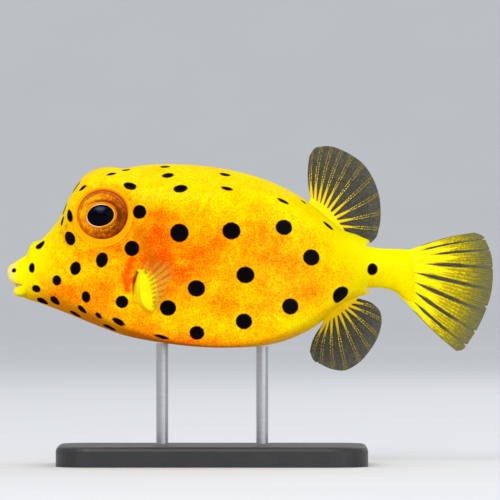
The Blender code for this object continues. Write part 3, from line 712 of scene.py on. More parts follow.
draw = np.random.default_rng(8)
right_spots = LEFT_SPOTS.copy()
right_spots[:, :2] += draw.uniform(-SPOT_SHIFT, SPOT_SHIFT, (len(right_spots), 2)) * np.clip(
    right_spots[:, 3:4] / 3, 0.1, 1)
right_spots[:, 2:4] *= draw.uniform(1 - SPOT_CHANGE, 1 + SPOT_CHANGE, (len(right_spots), 1))
crest = line(BACK_LINE, right_spots[:, 0]) - right_spots[:, 1] < CREST_CLEAR * (right_spots[:, 0] < 24)
outward = facing(skin)
spot = np.maximum(within_spots(skin, outward, LEFT_SPOTS, LEFT),
                  within_spots(skin, outward, right_spots[~crest], RIGHT))
spot = np.maximum(spot, within_under_spots(skin))
print("spots: %d a side, %.1f%% of the skin's points are black" % (len(LEFT_SPOTS), 100 * (spot > 0).mean()))

# %% [markdown]
# The ground runs from lemon on the back, snout and stem to orange on the flank, with red-orange
# where blood shows through behind the eye and at the gill. One number, the skin's warmth, says
# where a point lies on that way; it is a broad gradient plus soft patches, and the material adds
# the mottling. Patches are (behind, height, half length, half height, strength).

# %% Warmth of the skin
BACK_WARMTH = 0.18
FLANK_WARMTH = 0.25
WARM_PATCHES = ((30.2, 5.6, 3.6, 5.2, 0.47), (33, 10.4, 2.4, 1.2, 0.1), (30.6, 10.8, 1.6, 1.1, 0.16),
                (31.5, 1.4, 2.6, 1.8, 0.3), (38, 3.4, 4.5, 2.2, 0.3), (36, -0.8, 5.5, 2.4, 0.34),
                (42.8, 5.4, 2.8, 1.8, 0.18), (50.5, 5.8, 2.8, 1.6, 0.12), (52, 2, 3.6, 1.5, 0.16),
                (56.5, 0.6, 3, 2.2, 0.22), (41.5, -6.6, 2.2, 1.6, 0.16), (44.6, 9.5, 3, 1.6, -0.08),
                (12.6, 3.4, 2.4, 2, -0.2), (17.4, 3, 2.2, 1, 0.18), (22, 4.2, 2, 1.4, 0.25),
                (23.7, 6.6, 1.3, 2.2, 0.2), (27.8, 1.2, 1.8, 2.2, 0.26), (19.3, -4, 3.2, 2.2, 0.2),
                (12.3, -4.8, 2.4, 1.8, 0.24), (7.6, -4.9, 2.4, 1.6, 0.26), (61.2, -4.6, 2.4, 1.8, 0.28),
                (65.6, -1.2, 3, 2.2, 0.16), (63, 6.4, 3.4, 2.2, 0.1), (56.6, -11, 4.6, 2, -0.22),
                (56.6, 0.8, 2, 1.4, -0.1), (27, -11, 3, 1.6, 0.16), (33.5, -9.2, 5, 2.6, -0.14),
                (38, 8.5, 2.6, 1.6, -0.12), (43, -12.6, 8, 2.2, -0.22), (34.8, 1.1, 1.6, 0.7, -0.42),
                (15, -0.6, 4.2, 2.2, -0.14), (38.6, -2.4, 2.6, 1.4, -0.1), (24.4, -5.2, 3, 1.4, -0.22),
                (8.5, 1, 3.5, 3, -0.1), (48.6, -4.6, 3, 1.6, -0.06), (45, 3.4, 2.2, 1.2, -0.08),
                (31.5, -5, 2.2, 1.6, 0.22))
BLUSH_LINES = (((24.95, 1.6), (24.65, 0.4), (24.2, -0.9), (23.7, -2.3)),
               ((25.3, -2.2), (24.6, -3.3), (24.2, -4.3)))
BLUSH_HALF = 0.88
GRAZE_LINE = ((26.3, 7.4), (27.2, 5.8), (28.2, 4.0), (29.2, 2.0), (30.4, 0.2), (31.8, -1.4))
GRAZE_HALF = 1.5


def warmth(points):
    """0 for lemon to 1 for red-orange: cool above and at both ends, warm on the flank, and warmer at the
    belly edge as painted shade.
    """
    behind, height = points[..., 0], points[..., 2]
    top = line(RIDGE_LINE, behind)
    warm = BACK_WARMTH * ease(behind, 72.0, 60.0) + FLANK_WARMTH * ease(height, top + 1.5, top - 6.5)
    warm = warm * ease(behind, 1.0, 13.0) * (1 - 0.56 * ease(behind, 50.0, 70.0))
    # painted shade: the belly edge below the keel is painted warmer and darker orange, by height
    warm = warm + 0.30 * ease(height, -10.5, -15.0) * ease(behind, 8.0, 18.0) * ease(behind, 50.0, 38.0)
    warm = warm + 0.14 * ease(height, -3.0, -7.5) * ease(behind, 6.0, 11.0) * ease(behind, 24.0, 17.0)
    for at, level, wide, high, strength in WARM_PATCHES:
        warm = warm + strength * hill(np.hypot((behind - at) / wide, (height - level) / high), 1.0)
    return warm


def lid_fields(points):
    """Distance from the nearer eye's axis, and how far up and back on the eye a point lies, -1 to 1."""
    side = np.where(points[..., 1] < 0, LEFT, RIGHT)
    back, up, out = np.moveaxis(eye_places(points * np.stack([side * 0 + 1, side, side * 0 + 1], -1)), -1, 0)
    reach = np.where(out > -5, np.hypot(back, up / LID_TALL), 30.0)
    return reach, up / np.maximum(reach, 0.1), back / np.maximum(reach, 0.1)


LID_EDGE = 5.75
RING_DROP = 0.28
MOUTH_ROWS = (LIP_ROWS * 1.7 / (len(LIP_RINGS) + 0.3), LIP_ROWS * 0.7 / (len(LIP_RINGS) + 0.3))


def both_sides(values):
    """Values of the right half's grid, carried round to the left half."""
    return np.concatenate([values, values[:, -2:0:-1]], 1)


lid_reach, lid_up, lid_back = lid_fields(skin)
behind, downward = skin[..., 0], -outward[..., 2]
rows = np.arange(len(skin))[:, None] + 0 * behind
# painted shade: the gill slit, the nostrils and the inside of the mouth are painted dark brown
openings = np.maximum(hill(both_sides(gill), 1.1 * GILL_HALF_WIDTH),
                      0.12 * hill(both_sides(nostril), 0.9 * NOSTRIL_RADIUS))
skin_fields = {
    "spot": np.minimum(spot, 6 * (lid_reach - LID_EDGE)),
    # the warmth rises a little on down-facing skin of the rear part: painted shade, a darker orange there
    "warmth": warmth(skin) + 0.12 * ease(lid_reach, 7.5, 6.0)
    + 0.08 * ease(downward, 0.25, 0.9) * ease(behind, 46.0, 58.0),
    "blush": np.maximum(*(ease(to_curve(skin, knots), 2.2 * BLUSH_HALF, 0.0) for knots in BLUSH_LINES)),
    "graze": ease(to_curve(skin, GRAZE_LINE), 2 * GRAZE_HALF, 0.0),
    # painted shade: skin that faces down, before the middle of the body, is painted umber
    "under": ease(downward, 0.25, 0.85) * ease(behind, 52.0, 38.0),
    "lid_reach": lid_reach,
    "lid_top": lid_up + 0.35 * lid_back,
    "ring": np.hypot(lid_back * lid_reach, lid_up * lid_reach + RING_DROP),
    "hollow_shade": np.maximum(openings, ease(rows, *MOUTH_ROWS)),
    "lip": ease(behind + 0.35 * np.abs(skin[..., 1]), 3.2, 0.9),
}

# %% [markdown]
# Live skin is wet and finely grained. Its colour comes from the warmth, moved up and down by soft
# clouds and by grains of pigment a third of a millimetre wide, read off one colour ramp, so that
# clouds and grains pass through the same yellows and oranges that the broad gradient does. Painted
# shade darkens the underside to umber. Spots, painted shade in the gill slit, nostrils and mouth,
# the pale lips, the red rim of the eye and a painted shadow line at the lid's edge are laid over it
# one by one.

# %% The skin's material
LEMON = tone(255, 244, 0)
YELLOW = tone(255, 218, 0)
AMBER = tone(255, 178, 0)
ORANGE = tone(255, 132, 0)
RED_ORANGE = tone(242, 78, 0)
GRAIN_YELLOW = tone(255, 226, 40)
BLUSH_RED = tone(253, 76, 0)
GRAZE_UMBER = tone(206, 96, 0)
UNDER_SHADE_UMBER = tone(180, 92, 0)
SPOT_BLACK = tone(8, 4, 6)
SPOT_FRINGE = tone(120, 40, 0)
LIP_CREAM = tone(255, 230, 150)
HOLLOW_SHADE_BROWN = tone(96, 28, 4)
LID_GOLD = tone(255, 204, 0)
LID_RED = tone(226, 84, 6)
LID_SHADOW_BROWN = tone(168, 76, 20)
GROUND_STOPS = ((0.0, LEMON), (0.2, YELLOW), (0.44, AMBER), (0.70, ORANGE), (1.0, RED_ORANGE))
CLOUD_SIZE, PATCH_SIZE, FINE_SIZE, GRAIN_SIZE = 5.0, 1.5, 0.36, 0.30
LID_FOLDS = ((5.30, 5.38, 5.42, 5.50), (5.56, 5.64, 5.68, 5.76), (6.04, 6.12, 6.18, 6.3))
LID_RIMS = ((5.80, 5.90, 5.96, 6.06), (5.46, 5.52, 5.56, 5.62))
SKIN_BUMP = 0.05


def skin_paint():
    """Wet, grained skin from lemon to red-orange with black spots, and painted shade on the underside, in the
    gill slit, nostrils and mouth, and at the lid's edge.
    """
    paint = Paint("wet_skin", {"Coat Roughness": 0.16, "Coat IOR": 1.33, "Specular IOR Level": 0.0})
    where = paint.place()
    clouds = paint.noise(where, CLOUD_SIZE, 3.0, 0.6)
    patches = paint.noise(where, PATCH_SIZE, 3.0, 0.65)
    grains = paint.cells(where, GRAIN_SIZE)
    fine = paint.noise(where, FINE_SIZE, 3.0, 0.85)
    warm, under, lip, reach, ring, top = (
        paint.field(name) for name in ("warmth", "under", "lip", "lid_reach", "ring", "lid_top"))
    speckle = fine.step(0.38, 0.62) - 0.5 + (0.45 - grains) * 1.5
    mottle = (clouds - 0.5) * 0.55 + (patches - 0.5) * 0.50 - speckle * 0.30
    mottled = warm + mottle * (0.16 + 0.84 * warm.step(0.0, 0.34))
    ground = paint.ramp(mottled, GROUND_STOPS)
    flecks = fine.step(0.50, 0.62) * grains.step(0.38, 0.14) * warm.step(0.18, 0.45)
    ragged = (patches - 0.5) * 1.2 + (fine - 0.5) * 0.5
    ground = paint.over(ground, (flecks * 0.75, GRAIN_YELLOW),
                        ((paint.field("blush") + ragged).step(0.40, 1.05) * 0.92, BLUSH_RED),
                        ((paint.field("graze") + ragged).step(0.15, 1.15) * 0.66, GRAZE_UMBER),
                        # painted shade on the underside
                        (under * 0.55, UNDER_SHADE_UMBER))

    gold = paint.blend((clouds - 0.3).clear() * 2.0, AMBER, LID_GOLD)
    folds = ring.band(*LID_FOLDS[0]) + ring.band(*LID_FOLDS[1]) + ring.band(*LID_FOLDS[2])
    rim = ring.band(*LID_RIMS[0]) + ring.band(*LID_RIMS[1]) * 0.7
    ground = paint.over(ground, (ring.step(5.98, 5.80) * 0.6, gold),
                        (folds * 0.5 * (0.45 + 0.55 * top.step(1.0, -0.2)), ORANGE),
                        (rim * 0.75, YELLOW),
                        (reach.step(5.85, 5.35) * top.step(0.1, 0.95) * 0.85, LID_RED),
                        # painted shadow line where the lid meets the eyeball, darker at the top
                        (reach.step(5.20, 5.08) * (0.35 + 0.4 * top.step(-0.2, 0.8)), LID_SHADOW_BROWN))

    edge = paint.field("spot") + (paint.noise(where, 0.5) - 0.5) * 0.16
    black = edge.step(-0.045, 0.045)
    ground = paint.over(ground, ((lip * (0.75 + 0.6 * (patches - 0.5))).clear(), LIP_CREAM),
                        (edge.step(-0.16, 0.0) * 0.75, SPOT_FRINGE),
                        (black, SPOT_BLACK),
                        # painted shade in the gill slit, nostrils and mouth
                        (paint.field("hollow_shade").clear() * 0.9, HOLLOW_SHADE_BROWN))

    dimples = grains * 0.35 + fine * 0.5 + patches * 0.8
    paint.set(base_color=ground, roughness=0.40 + 0.18 * (patches - 0.5) + 0.1 * grains,
              coat_weight=(0.08 + 0.02 * black) * (1 - 0.8 * under), normal=paint.bump(dimples, SKIN_BUMP))
    return paint.material


# %% [markdown]
# On the living fish the skin is one bag from the lips to the tail fin. So it is one closed surface
# here as well: a pole in the mouth, rings along the body, and a pole in the end of the stem. It
# takes the place of five solids at once.

# %% Skin
tail_pole = (skin[-1, :, 0].mean(), 0.0, skin[-1, :, 2].mean())
closed_piece("skin", skin, [MOUTH_POLE, tail_pole], skin_fields, skin_paint(), "skin",
             ("head", "torso", "tail_stem", "lip_upper", "lip_lower"))

# %% [markdown]
# An eye is a flattened ball. Seen from outside it is a clear cornea over an iris with an oval
# pupil, and in a fish the round lens stands out through the pupil a little. Here the ball is one
# surface in polar rings about its axis, with the lens as a low hill on it, and a glossy coat does
# the cornea's work. The iris is painted from two fields, how far back and how far up a point lies,
# and so is painted light: the iris lighter to the upper front, small white highlights on the pupil's
# rim, a highlight on the pupil, and a shadow line and a crescent highlight under the lid.

# %% Eyes
EYE_RINGS = 110
EYE_SECTORS = 160
LENS_RISE = 0.28
LENS_WIDE = 2.5
PUPIL_AT = (-0.08, -0.36)
PUPIL_SIZE = (2.74, 2.14)
PUPIL_TURN = math.radians(9.0)
IRIS_STOPS = ((0.0, tone(96, 34, 0)), (0.28, tone(164, 74, 0)), (0.5, tone(222, 110, 0)),
              (0.72, tone(250, 158, 0)), (1.0, tone(255, 218, 0)))


def eyeball(side):
    """Rings from the front pole to the rear one: radius R sin(t), height D cos(t), lens hill added."""
    back, up, out = eye_frame(side)
    t = np.linspace(0, math.pi, EYE_RINGS + 2)[1:-1, None]
    turn = np.linspace(0, 2 * math.pi, EYE_SECTORS, endpoint=False)
    reach = EYE_RADIUS * np.sin(t) + 0 * turn
    lens = LENS_RISE * hill(reach / LENS_WIDE, 1.0) * (t < math.pi / 2)
    high = EYE_DEPTH * np.cos(t) + lens - (EYE_DEPTH - EYE_SHOWS)
    across, lift = reach * np.cos(turn), reach * np.sin(turn)
    middle = EYE_AT * (1, side, 1)
    points = middle + across[..., None] * back + lift[..., None] * up + high[..., None] * out
    poles = [middle + out * (EYE_SHOWS + LENS_RISE), middle - out * (2 * EYE_DEPTH - EYE_SHOWS)]
    return points, poles, across, lift


def eye_paint():
    """Orange-brown iris with streaks and gold patches, a bright rim and a black pupil, and painted light: the
    iris lighter to the upper front, white highlights on the rim, a highlight on the pupil, and a shadow line
    and crescent highlight under the lid.
    """
    paint = Paint("eye", {"Roughness": 0.35, "Coat Weight": 0.14, "Coat Roughness": 0.12, "Coat IOR": 1.34,
                          "Specular IOR Level": 0.0})
    back, up, where = paint.field("back"), paint.field("up"), paint.place()
    reach = (back ** 2 + up ** 2) ** 0.5
    c, s = math.cos(PUPIL_TURN), math.sin(PUPIL_TURN)
    px, py = back - PUPIL_AT[0], up - PUPIL_AT[1]
    oval = (((px * c + py * s) / PUPIL_SIZE[0]) ** 2 + ((py * c - px * s) / PUPIL_SIZE[1]) ** 2) ** 0.5
    streaks = paint.noise(paint.vector(back / reach * 3.2, up / reach * 3.2, reach * 0.45), 0.42, 3.0, 0.65)
    clouds = paint.noise(where, 1.5, 3.0, 0.6)
    grit = paint.noise(where, 0.28, 2.0, 0.7)
    shade = (streaks - 0.5) * 0.7 + (clouds - 0.5) * 0.7 + (grit - 0.5) * 0.35
    # painted light and shade: toward is near 1 at the upper front of the eye and near -1 at the lower back;
    # the iris is painted lighter to the upper front and darker to the lower back by it, and the gold patches
    # keep to the lighter side
    toward = (up * 0.5 - back * 0.85) / reach
    light = 0.34 + toward * 0.26 + shade * 1.15 + reach.step(5.1, 4.3) * 0.12
    iris = paint.ramp(light, IRIS_STOPS)

    gold = toward.step(0.35, 0.95) * oval.step(1.25, 1.5) * reach.step(4.6, 4.1) * clouds.step(0.42, 0.62)
    bent = oval + (paint.noise(where, 1.3) - 0.5) * 0.22
    arc = bent.band(1.22, 1.32, 1.40, 1.64) * (up * 0.8 + back * 0.6).step(-0.3, 1.8)
    gilt = bent.band(1.20, 1.28, 1.36, 1.52) * up.step(-1.2, -2.6) * grit.step(0.40, 0.58)
    bend = reach + (paint.noise(where, 2.2) - 0.5) * 0.24
    # painted highlights: white on the pupil's rim at the top and at the lower front
    painted_glint = (px * -0.55 - py * 0.8).step(1.5, 2.1) + (py - px * 0.1).step(1.9, 2.2)
    # a painted highlight: a soft bluish patch at the top of the pupil
    painted_pupil_highlight = (((px + 0.1) / 1.5) ** 2 + ((py - 1.35) / 0.62) ** 2) ** 0.5 + (clouds - 0.5) * 0.8
    colour = paint.over(iris, (gold * 0.75, tone(252, 206, 20)),
                        (arc * 0.85, tone(104, 38, 0)),
                        (gilt * 0.7, tone(250, 186, 10)),
                        # painted light and shade under the lid at the top of the eye: a dark painted shadow
                        # line and, outside it, a pale grey-pink crescent of painted highlight
                        (bend.band(4.22, 4.32, 4.42, 4.52) * up.step(0.2, 1.8) * 0.75, tone(122, 52, 6)),
                        (bend.band(4.46, 4.58, 4.70, 4.86) * up.step(0.8, 2.6) * 0.75, tone(190, 116, 72)),
                        (reach.step(4.72, 4.96) * up.step(-1.5, 2.0) * 0.8, tone(226, 80, 8)),
                        (oval.step(1.22, 1.11), tone(255, 136, 0)),
                        (oval.step(1.125, 1.08) * 0.85, tone(230, 62, 0)),
                        (oval.step(1.062, 1.040),
                         paint.blend(painted_glint * 0.85, tone(255, 214, 40), tone(255, 255, 236))),
                        (oval.step(1.02, 0.985),
                         paint.blend(painted_pupil_highlight.step(1.0, 0.15) * 0.5, tone(3, 3, 10), tone(74, 86, 124))))
    paint.set(base_color=colour, normal=paint.bump(streaks * oval.step(1.0, 1.2), 0.05))
    return paint.material


eye_look = eye_paint()
for side, word in ((LEFT, "left"), (RIGHT, "right")):
    points, poles, across, lift = eyeball(side)
    closed_piece("eyeball_" + word, points, poles, {"back": across, "up": lift}, eye_look, "eye",
                 ("eye_" + word,), at_poles=0.0)

# %% [markdown]
# A fin is a thin skin stretched over a fan of rays. Each ray is two rods side by side, made of
# short segments, and it forks towards the edge. The fin's surface is a grid of two numbers: which
# ray a point is at, and what share of the way from root to edge. A point of the middle sheet is
# root + (edge - root) * share, and the sheet gets its thickness from a formula of the same two
# numbers, so the rays are real ridges on both faces.

# %% Fins in general
MEMBRANE_HALF = 0.11
ROD_RISE = 0.11
EDGE_HALF = 0.05
FLESH_REACH = 0.22
FOOT_ROWS = 6
ROW_CROWDING = 1.1


def forks(ray, share, pitch, splits):
    """Distance in millimetres from the nearest rod: |...||x| - a| - b|..., one term for each split.

    x is the distance from the ray's middle line, and each split moves the rods apart by a growing
    width: splits are (share where it starts, share where it is full, half width, part of pitch).
    """
    away = np.abs(ray - np.round(ray)) * pitch
    for start, full, width, part in splits:
        away = np.abs(away - ease(share, start, full) * (width + part * pitch))
    return away


def fin_grid(foot, root, edge, shape, depth, fine):
    """Middle sheet, its half thickness and its fields, for a fin in a plane or out of it.

    foot, root and edge are functions of the ray number that give points, at the shares -1, 0 and 1
    of the way. The half thickness is the membrane's, plus a bell on each rod, plus the root's flesh.
    """
    rays = np.linspace(shape["first"], shape["last"], fine[0])
    spread = 2 * (rays - rays[0]) / np.ptp(rays) - 1
    foot_line, root_line, edge_line = foot(rays), root(rays), edge(rays)
    for at, deep, wide in shape.get("nicks", ()):
        edge_line = edge_line + (root_line - edge_line) * (deep * hill((rays - at) / wide, 1.0))[:, None]
    low = np.linspace(0, 1, FOOT_ROWS + 1)[:-1, None, None]
    high = np.linspace(0, 1, fine[1])[:, None, None] ** ROW_CROWDING
    bow = shape.get("bow", np.zeros(3)) * np.sin(math.pi * high) * spread[:, None]
    middle = np.concatenate([foot_line + (root_line - foot_line) * low,
                             root_line + (edge_line - root_line) * high + bow])
    share = np.concatenate([low - 1, high])[..., 0] + 0 * rays
    ray = rays + 0 * share
    pitch = np.linalg.norm(np.gradient(middle, rays, axis=1), axis=-1)
    rod = forks(ray, share, pitch, shape["splits"])
    rise = ROD_RISE * hill(rod / shape["rod_half"], 1.0) * ease(share, -0.02, 0.1) * (1 - 0.75 * share)
    membrane = MEMBRANE_HALF * (1 - 0.4 * np.clip(share, 0, 1))
    root_flesh = np.where(share < 0, 0.5 - 0.5 * share, 0.5 * np.clip(1 - share / FLESH_REACH, 0, 1) ** 1.6)
    half_thick = membrane + rise + depth * np.sqrt(np.clip(1 - spread ** 2, 0, 1)) * root_flesh
    half_thick[-1] = EDGE_HALF
    gaps = np.array(shape["gaps"])
    starts = gaps[np.clip(np.floor(ray).astype(int) + 1, 0, len(gaps) - 1)]
    along = np.linalg.norm(edge_line - root_line, axis=-1) * np.maximum(share, -0.5)
    fields = {"ray": ray, "share": share, "pitch": pitch, "along": along, "web": share - starts}
    return middle, half_thick, fields


def fin_piece(name, grid, normal, material, nodes):
    """A closed sheet: the middle sheet moved both ways along its normal, and a rim round it."""
    middle, half_thick, fields = grid
    count, wide = half_thick.shape
    sides = [middle + way * normal * half_thick[..., None] for way in (1, -1)]
    sheet = grid_faces(count, wide, False)
    number = np.arange(count * wide).reshape(count, wide)
    rim = np.concatenate([number[0], number[1:, -1], number[-1, -2::-1], number[-2:0:-1, 0]])
    after = np.roll(rim, -1)
    other = count * wide
    rim_faces = np.stack([after, rim, rim + other, after + other], -1)
    faces = np.concatenate([sheet, sheet[:, ::-1] + other, rim_faces])
    doubled = {field: np.tile(np.ravel(values), 2) for field, values in fields.items()}
    make_piece(name, np.reshape(sides, (-1, 3)), faces, doubled, material, nodes)


# %% [markdown]
# The membrane is smoky and lets light through, and the rods carry beads of yellow pigment, one to
# a segment. Both follow the rays, so the material reads the same two numbers as the shape does and
# repeats the forks formula in nodes: a bead is a cosine of the distance along the ray.

# %% The fins' material
SMOKE = tone(60, 59, 50)
SMOKE_LIGHT = tone(122, 118, 98)
ROD_YELLOW = tone(250, 216, 10)
ROD_OLIVE = tone(140, 122, 24)
SHEAF_OLIVE = tone(138, 128, 14)
WEDGE_RED = tone(60, 16, 4)
FLESH_STOPS = ((0.0, LEMON), (0.45, YELLOW), (0.75, AMBER), (1.0, ORANGE))
STRAY_SIZE = 0.34
FIN_BUMP = 0.04


def wedge_tip(look, web, to_gap, pitch):
    """Where flesh gives way to membrane: each gap begins as a point midway between two rays."""
    return (web - look["web_dip"] * (to_gap / (pitch * 0.5)) ** look["web_bend"]).step(0.035, -0.015)


def fin_paint(name, look):
    """Fleshy yellow root, beaded yellow rods, sheaves of colour and a see-through smoky membrane."""
    paint = Paint(name, {"Coat Weight": 0.05, "Coat Roughness": 0.3, "Specular IOR Level": 0.05})
    where = paint.place()
    ray, share, pitch, along, web = (paint.field(f) for f in ("ray", "share", "pitch", "along", "web"))
    number = (ray + 0.5).maths("FLOOR")
    from_ray = abs((ray + 0.5).maths("FRACT") - 0.5) * pitch
    to_gap = pitch * 0.5 - from_ray
    away = from_ray
    for start, full, width, part in look["splits"]:
        away = abs(away - share.step(start, full) * (pitch * part + width))
    width = look["root_half"] + share.step(0.0, look["narrow_by"]) * (look["rod_half"] - look["root_half"])
    rod = (away / width).step(1.2, 0.5) * (1 - look["rod_ends"] * share.step(0.45, 1.0))

    wobble = paint.noise(where, 0.7)
    luck = paint.noise(where, 0.55, 2.0, 0.7)
    streaked = paint.noise(paint.vector(ray * 14.0, along * 0.7, 0.0), 1.0, 2.0, 0.6)
    side = (ray - number).step(-0.02, 0.02)
    beat = (along / look["bead"] + number * 0.37 + side * 0.45 + (wobble - 0.5) * 2.4) * (2 * math.pi)
    bead = beat.maths("COSINE") * look["beaded"] + luck * 1.1 + (streaked - 0.5) * look["streaked"]
    solid = share.step(look["beads_from"] + 0.25, look["beads_from"] - 0.1)
    fade = share.step(1.05, look["fade_from"])
    glow = (solid + (1 - solid) * bead.step(0.30, 0.80) * (0.30 + 0.70 * fade)).clear()
    shown = rod * (look["rod_least"] + (1 - look["rod_least"]) * glow)

    streak = paint.vector(ray * 9.0, along * 0.5, 0.0)
    grain = paint.noise(streak, 1.0, 3.0, 0.6) * 0.5 + paint.noise(where, 0.3, 2.0, 0.7) * 0.5
    pale = grain.step(0.40, 0.72) * 0.55 + look["pale_edge"] * share.step(0.55, 1.0)
    strays = paint.cells(where, STRAY_SIZE).step(0.16, 0.08) * paint.noise(where, STRAY_SIZE).step(0.45, 0.6)
    gap_half = look["gap_half"] * web.step(0.0, 0.35) * (1 - 0.65 * share.step(0.5, 1.0))
    gap_half = (gap_half + (streaked - 0.5) * 0.3).maths("MAXIMUM", 0.02)
    sheaf = (to_gap / gap_half).step(0.8, 1.5) * look["sheaf"]
    fine = paint.noise(streak, 0.22, 2.0, 0.6)
    threads = paint.blend(fine.step(0.35, 0.65) * (1 - share.step(0.25, 0.95)), SHEAF_OLIVE, ROD_YELLOW)

    tip = wedge_tip(look, web, to_gap, pitch)
    wedge = (1 - tip) * web.step(0.26, 0.04) * (1 - rod) * (1 - sheaf)
    warm = paint.noise(where, 1.1, 2.0) * 0.5 + look["flesh_warmth"]
    flesh = paint.ramp(warm, FLESH_STOPS)
    colour = paint.over(paint.blend(pale.clear(), look["membrane"], look["membrane_light"]),
                        (strays * share.step(0.25, 0.5) * 0.5, ROD_OLIVE),
                        (sheaf * (1 - 0.9 * share.step(0.60, 0.98)), threads),
                        (shown, paint.blend(glow, look["rod_dim"], look["rod"])),
                        (wedge * 0.75, look["wedge"]),
                        (tip, flesh))
    clear = look["clear"] + look["clear_edge"] * share.step(0.6, 1.0)
    clear = (1 - shown) * (1 - tip) * clear * (1 - 0.7 * sheaf)
    paint.set(base_color=colour, roughness=0.5 + 0.15 * (wobble - 0.5), alpha=(1 - clear).clear(),
              normal=paint.bump(grain * 0.7 + rod * 0.6, FIN_BUMP))
    return paint.material


# %% [markdown]
# The dorsal and anal fins stand far back on the body and row the fish along. Each fans out from a
# short fleshy foot: the first rays rise almost straight and the last lie along the stem. Their
# roots and tips are set ray by ray, because that fan is what gives each fin its outline: a table
# holds (ray, the root's distance behind and height, the tip's distance behind and height).

# %% Dorsal and anal fins
DORSAL_FOOT = ((-0.35, 60.25), (9.8, 67.3))
DORSAL_RAYS = ((-0.35, 60.6, 14.2, 60.4, 22.3), (0, 60.9, 14.1, 61.1, 23.5),
               (1, 61.6, 13.7, 62.9, 24.3), (2, 62.3, 13.2, 64.9, 24.3), (3, 63, 12.8, 66.9, 23.6),
               (4, 63.7, 12.3, 69, 22.5), (5, 64.4, 11.7, 71.2, 20.8), (6, 65.1, 10.9, 73, 18.2),
               (7, 65.7, 10.1, 74.3, 14.8), (8, 66.3, 9.3, 74.7, 11), (9, 66.9, 8.3, 74.3, 7.8),
               (9.5, 67.5, 7.5, 73.7, 6), (9.8, 67.8, 7, 72.7, 5))
ANAL_FOOT = ((-0.35, 63.3), (8.6, 69.4))
ANAL_RAYS = ((-0.35, 63.1, -11.2, 60.5, -16.7), (0, 63.5, -11.1, 61, -18),
             (1, 64.2, -10.7, 62.8, -19.3), (2, 64.9, -10.2, 65.2, -20.3), (3, 65.7, -9.7, 67.8, -20.4),
             (4, 66.5, -9.2, 70.5, -18.8), (5, 67.2, -8.6, 72.6, -16.4), (6, 67.9, -8.1, 74.2, -13.6),
             (7, 68.6, -7.6, 74.9, -10.4), (8, 69.4, -6.8, 74.2, -8.1), (8.6, 70.2, -6.1, 73.2, -7.2))
FOOT_SUNK = 0.7
ALONG, ACROSS, UPWARD = np.eye(3)


def in_plane(knots, column):
    """A line of points on the middle plane: distance behind from one column, height from the next."""
    def points(rays):
        return np.stack([line(knots, rays, column), 0 * rays, line(knots, rays, column + 1)], -1)
    return points


def on_line(foot, body_line, sink):
    """The foot of a fin, sunk by some millimetres into the back or the belly."""
    def points(rays):
        behind = line(foot, rays)
        return np.stack([behind, 0 * rays, line(body_line, behind) - sink], -1)
    return points


def flat_fin(name, node, foot, knots, shape, look, depth, fine):
    """A fin on the middle plane, from its foot and its table of rays."""
    grid = fin_grid(foot, in_plane(knots, 1), in_plane(knots, 3), shape, depth, fine)
    fin_piece(name, grid, ACROSS, fin_paint(node, look), (node,))


FAN_SPLITS = ((0.02, 0.55, 0.19, 0.015), (0.7, 1.15, 0.0, 0.07))
FAN_LOOK = {
    "splits": FAN_SPLITS, "root_half": 0.40, "rod_half": 0.095, "narrow_by": 0.34, "bead": 0.5,
    "beads_from": 0.24, "fade_from": 0.35, "membrane": SMOKE, "membrane_light": SMOKE_LIGHT,
    "web_dip": 0.09, "web_bend": 1.0, "flesh_warmth": -0.05, "clear": 0.14, "clear_edge": 0.08,
    "gap_half": 0.1, "sheaf": 0.0, "rod": ROD_YELLOW, "rod_dim": ROD_OLIVE, "rod_least": 0.25,
    "rod_ends": 0.12, "wedge": WEDGE_RED, "beaded": 0.5, "streaked": 0.0, "pale_edge": 0.1}
ANAL_LOOK = {**FAN_LOOK, "flesh_warmth": 0.22}
dorsal = {"first": -0.35, "last": 9.8, "splits": FAN_SPLITS, "rod_half": 0.14, "bow": 0.4 * ALONG,
          "gaps": (-0.08, -0.06, -0.05, -0.05, -0.04, -0.05, -0.04, -0.05, -0.06, -0.07, -0.07)}
anal = {"first": -0.35, "last": 8.6, "splits": FAN_SPLITS, "rod_half": 0.14, "bow": 0.5 * ALONG,
        "gaps": (-0.04,) * 10, "nicks": ((0.62, 0.03, 0.07),)}
flat_fin("dorsal_fan", "dorsal_fin", on_line(DORSAL_FOOT, BACK_LINE, FOOT_SUNK), DORSAL_RAYS, dorsal,
         FAN_LOOK, 1.15, (310, 96))
flat_fin("anal_fan", "anal_fin", on_line(ANAL_FOOT, BELLY_LINE, -FOOT_SUNK), ANAL_RAYS, anal,
         ANAL_LOOK, 0.95, (280, 96))

# %% [markdown]
# The tail fin has fewer and broader rays, each splitting again and again into a sheaf of thin
# rods, so that the yellow of the stem runs out over it in streaks. Only narrow wedges of membrane
# part the sheaves, and the edge is nicked where they end.

# %% Tail fin
TAIL_FOOT = ((-0.45, 3.2), (7.45, -5.6))
TAIL_RAYS = ((-0.45, 80.8, 3.75, 93.4, 7.1), (0, 81, 3.5, 94.8, 6.6), (1, 81.2, 2.6, 96, 4.8),
             (2, 81.2, 1.6, 96.9, 2.1), (3, 81.2, 0.1, 97.1, -2.3), (4, 81.1, -1.8, 96.4, -6.5),
             (5, 80.9, -3.4, 94.6, -11), (6, 80.5, -5, 92.7, -14.2), (7, 80, -6.4, 90.9, -16.4),
             (7.45, 79.9, -7, 89.8, -16.6))
TAIL_FOOT_AT = 78.4
TAIL_SPLITS = ((0.0, 0.40, 0.0, 0.21), (0.05, 0.55, 0.0, 0.105), (0.35, 0.95, 0.0, 0.052))


def tail_foot(rays):
    """The fin's foot inside the end of the stem."""
    return np.stack([np.full_like(rays, TAIL_FOOT_AT), 0 * rays, line(TAIL_FOOT, rays)], -1)


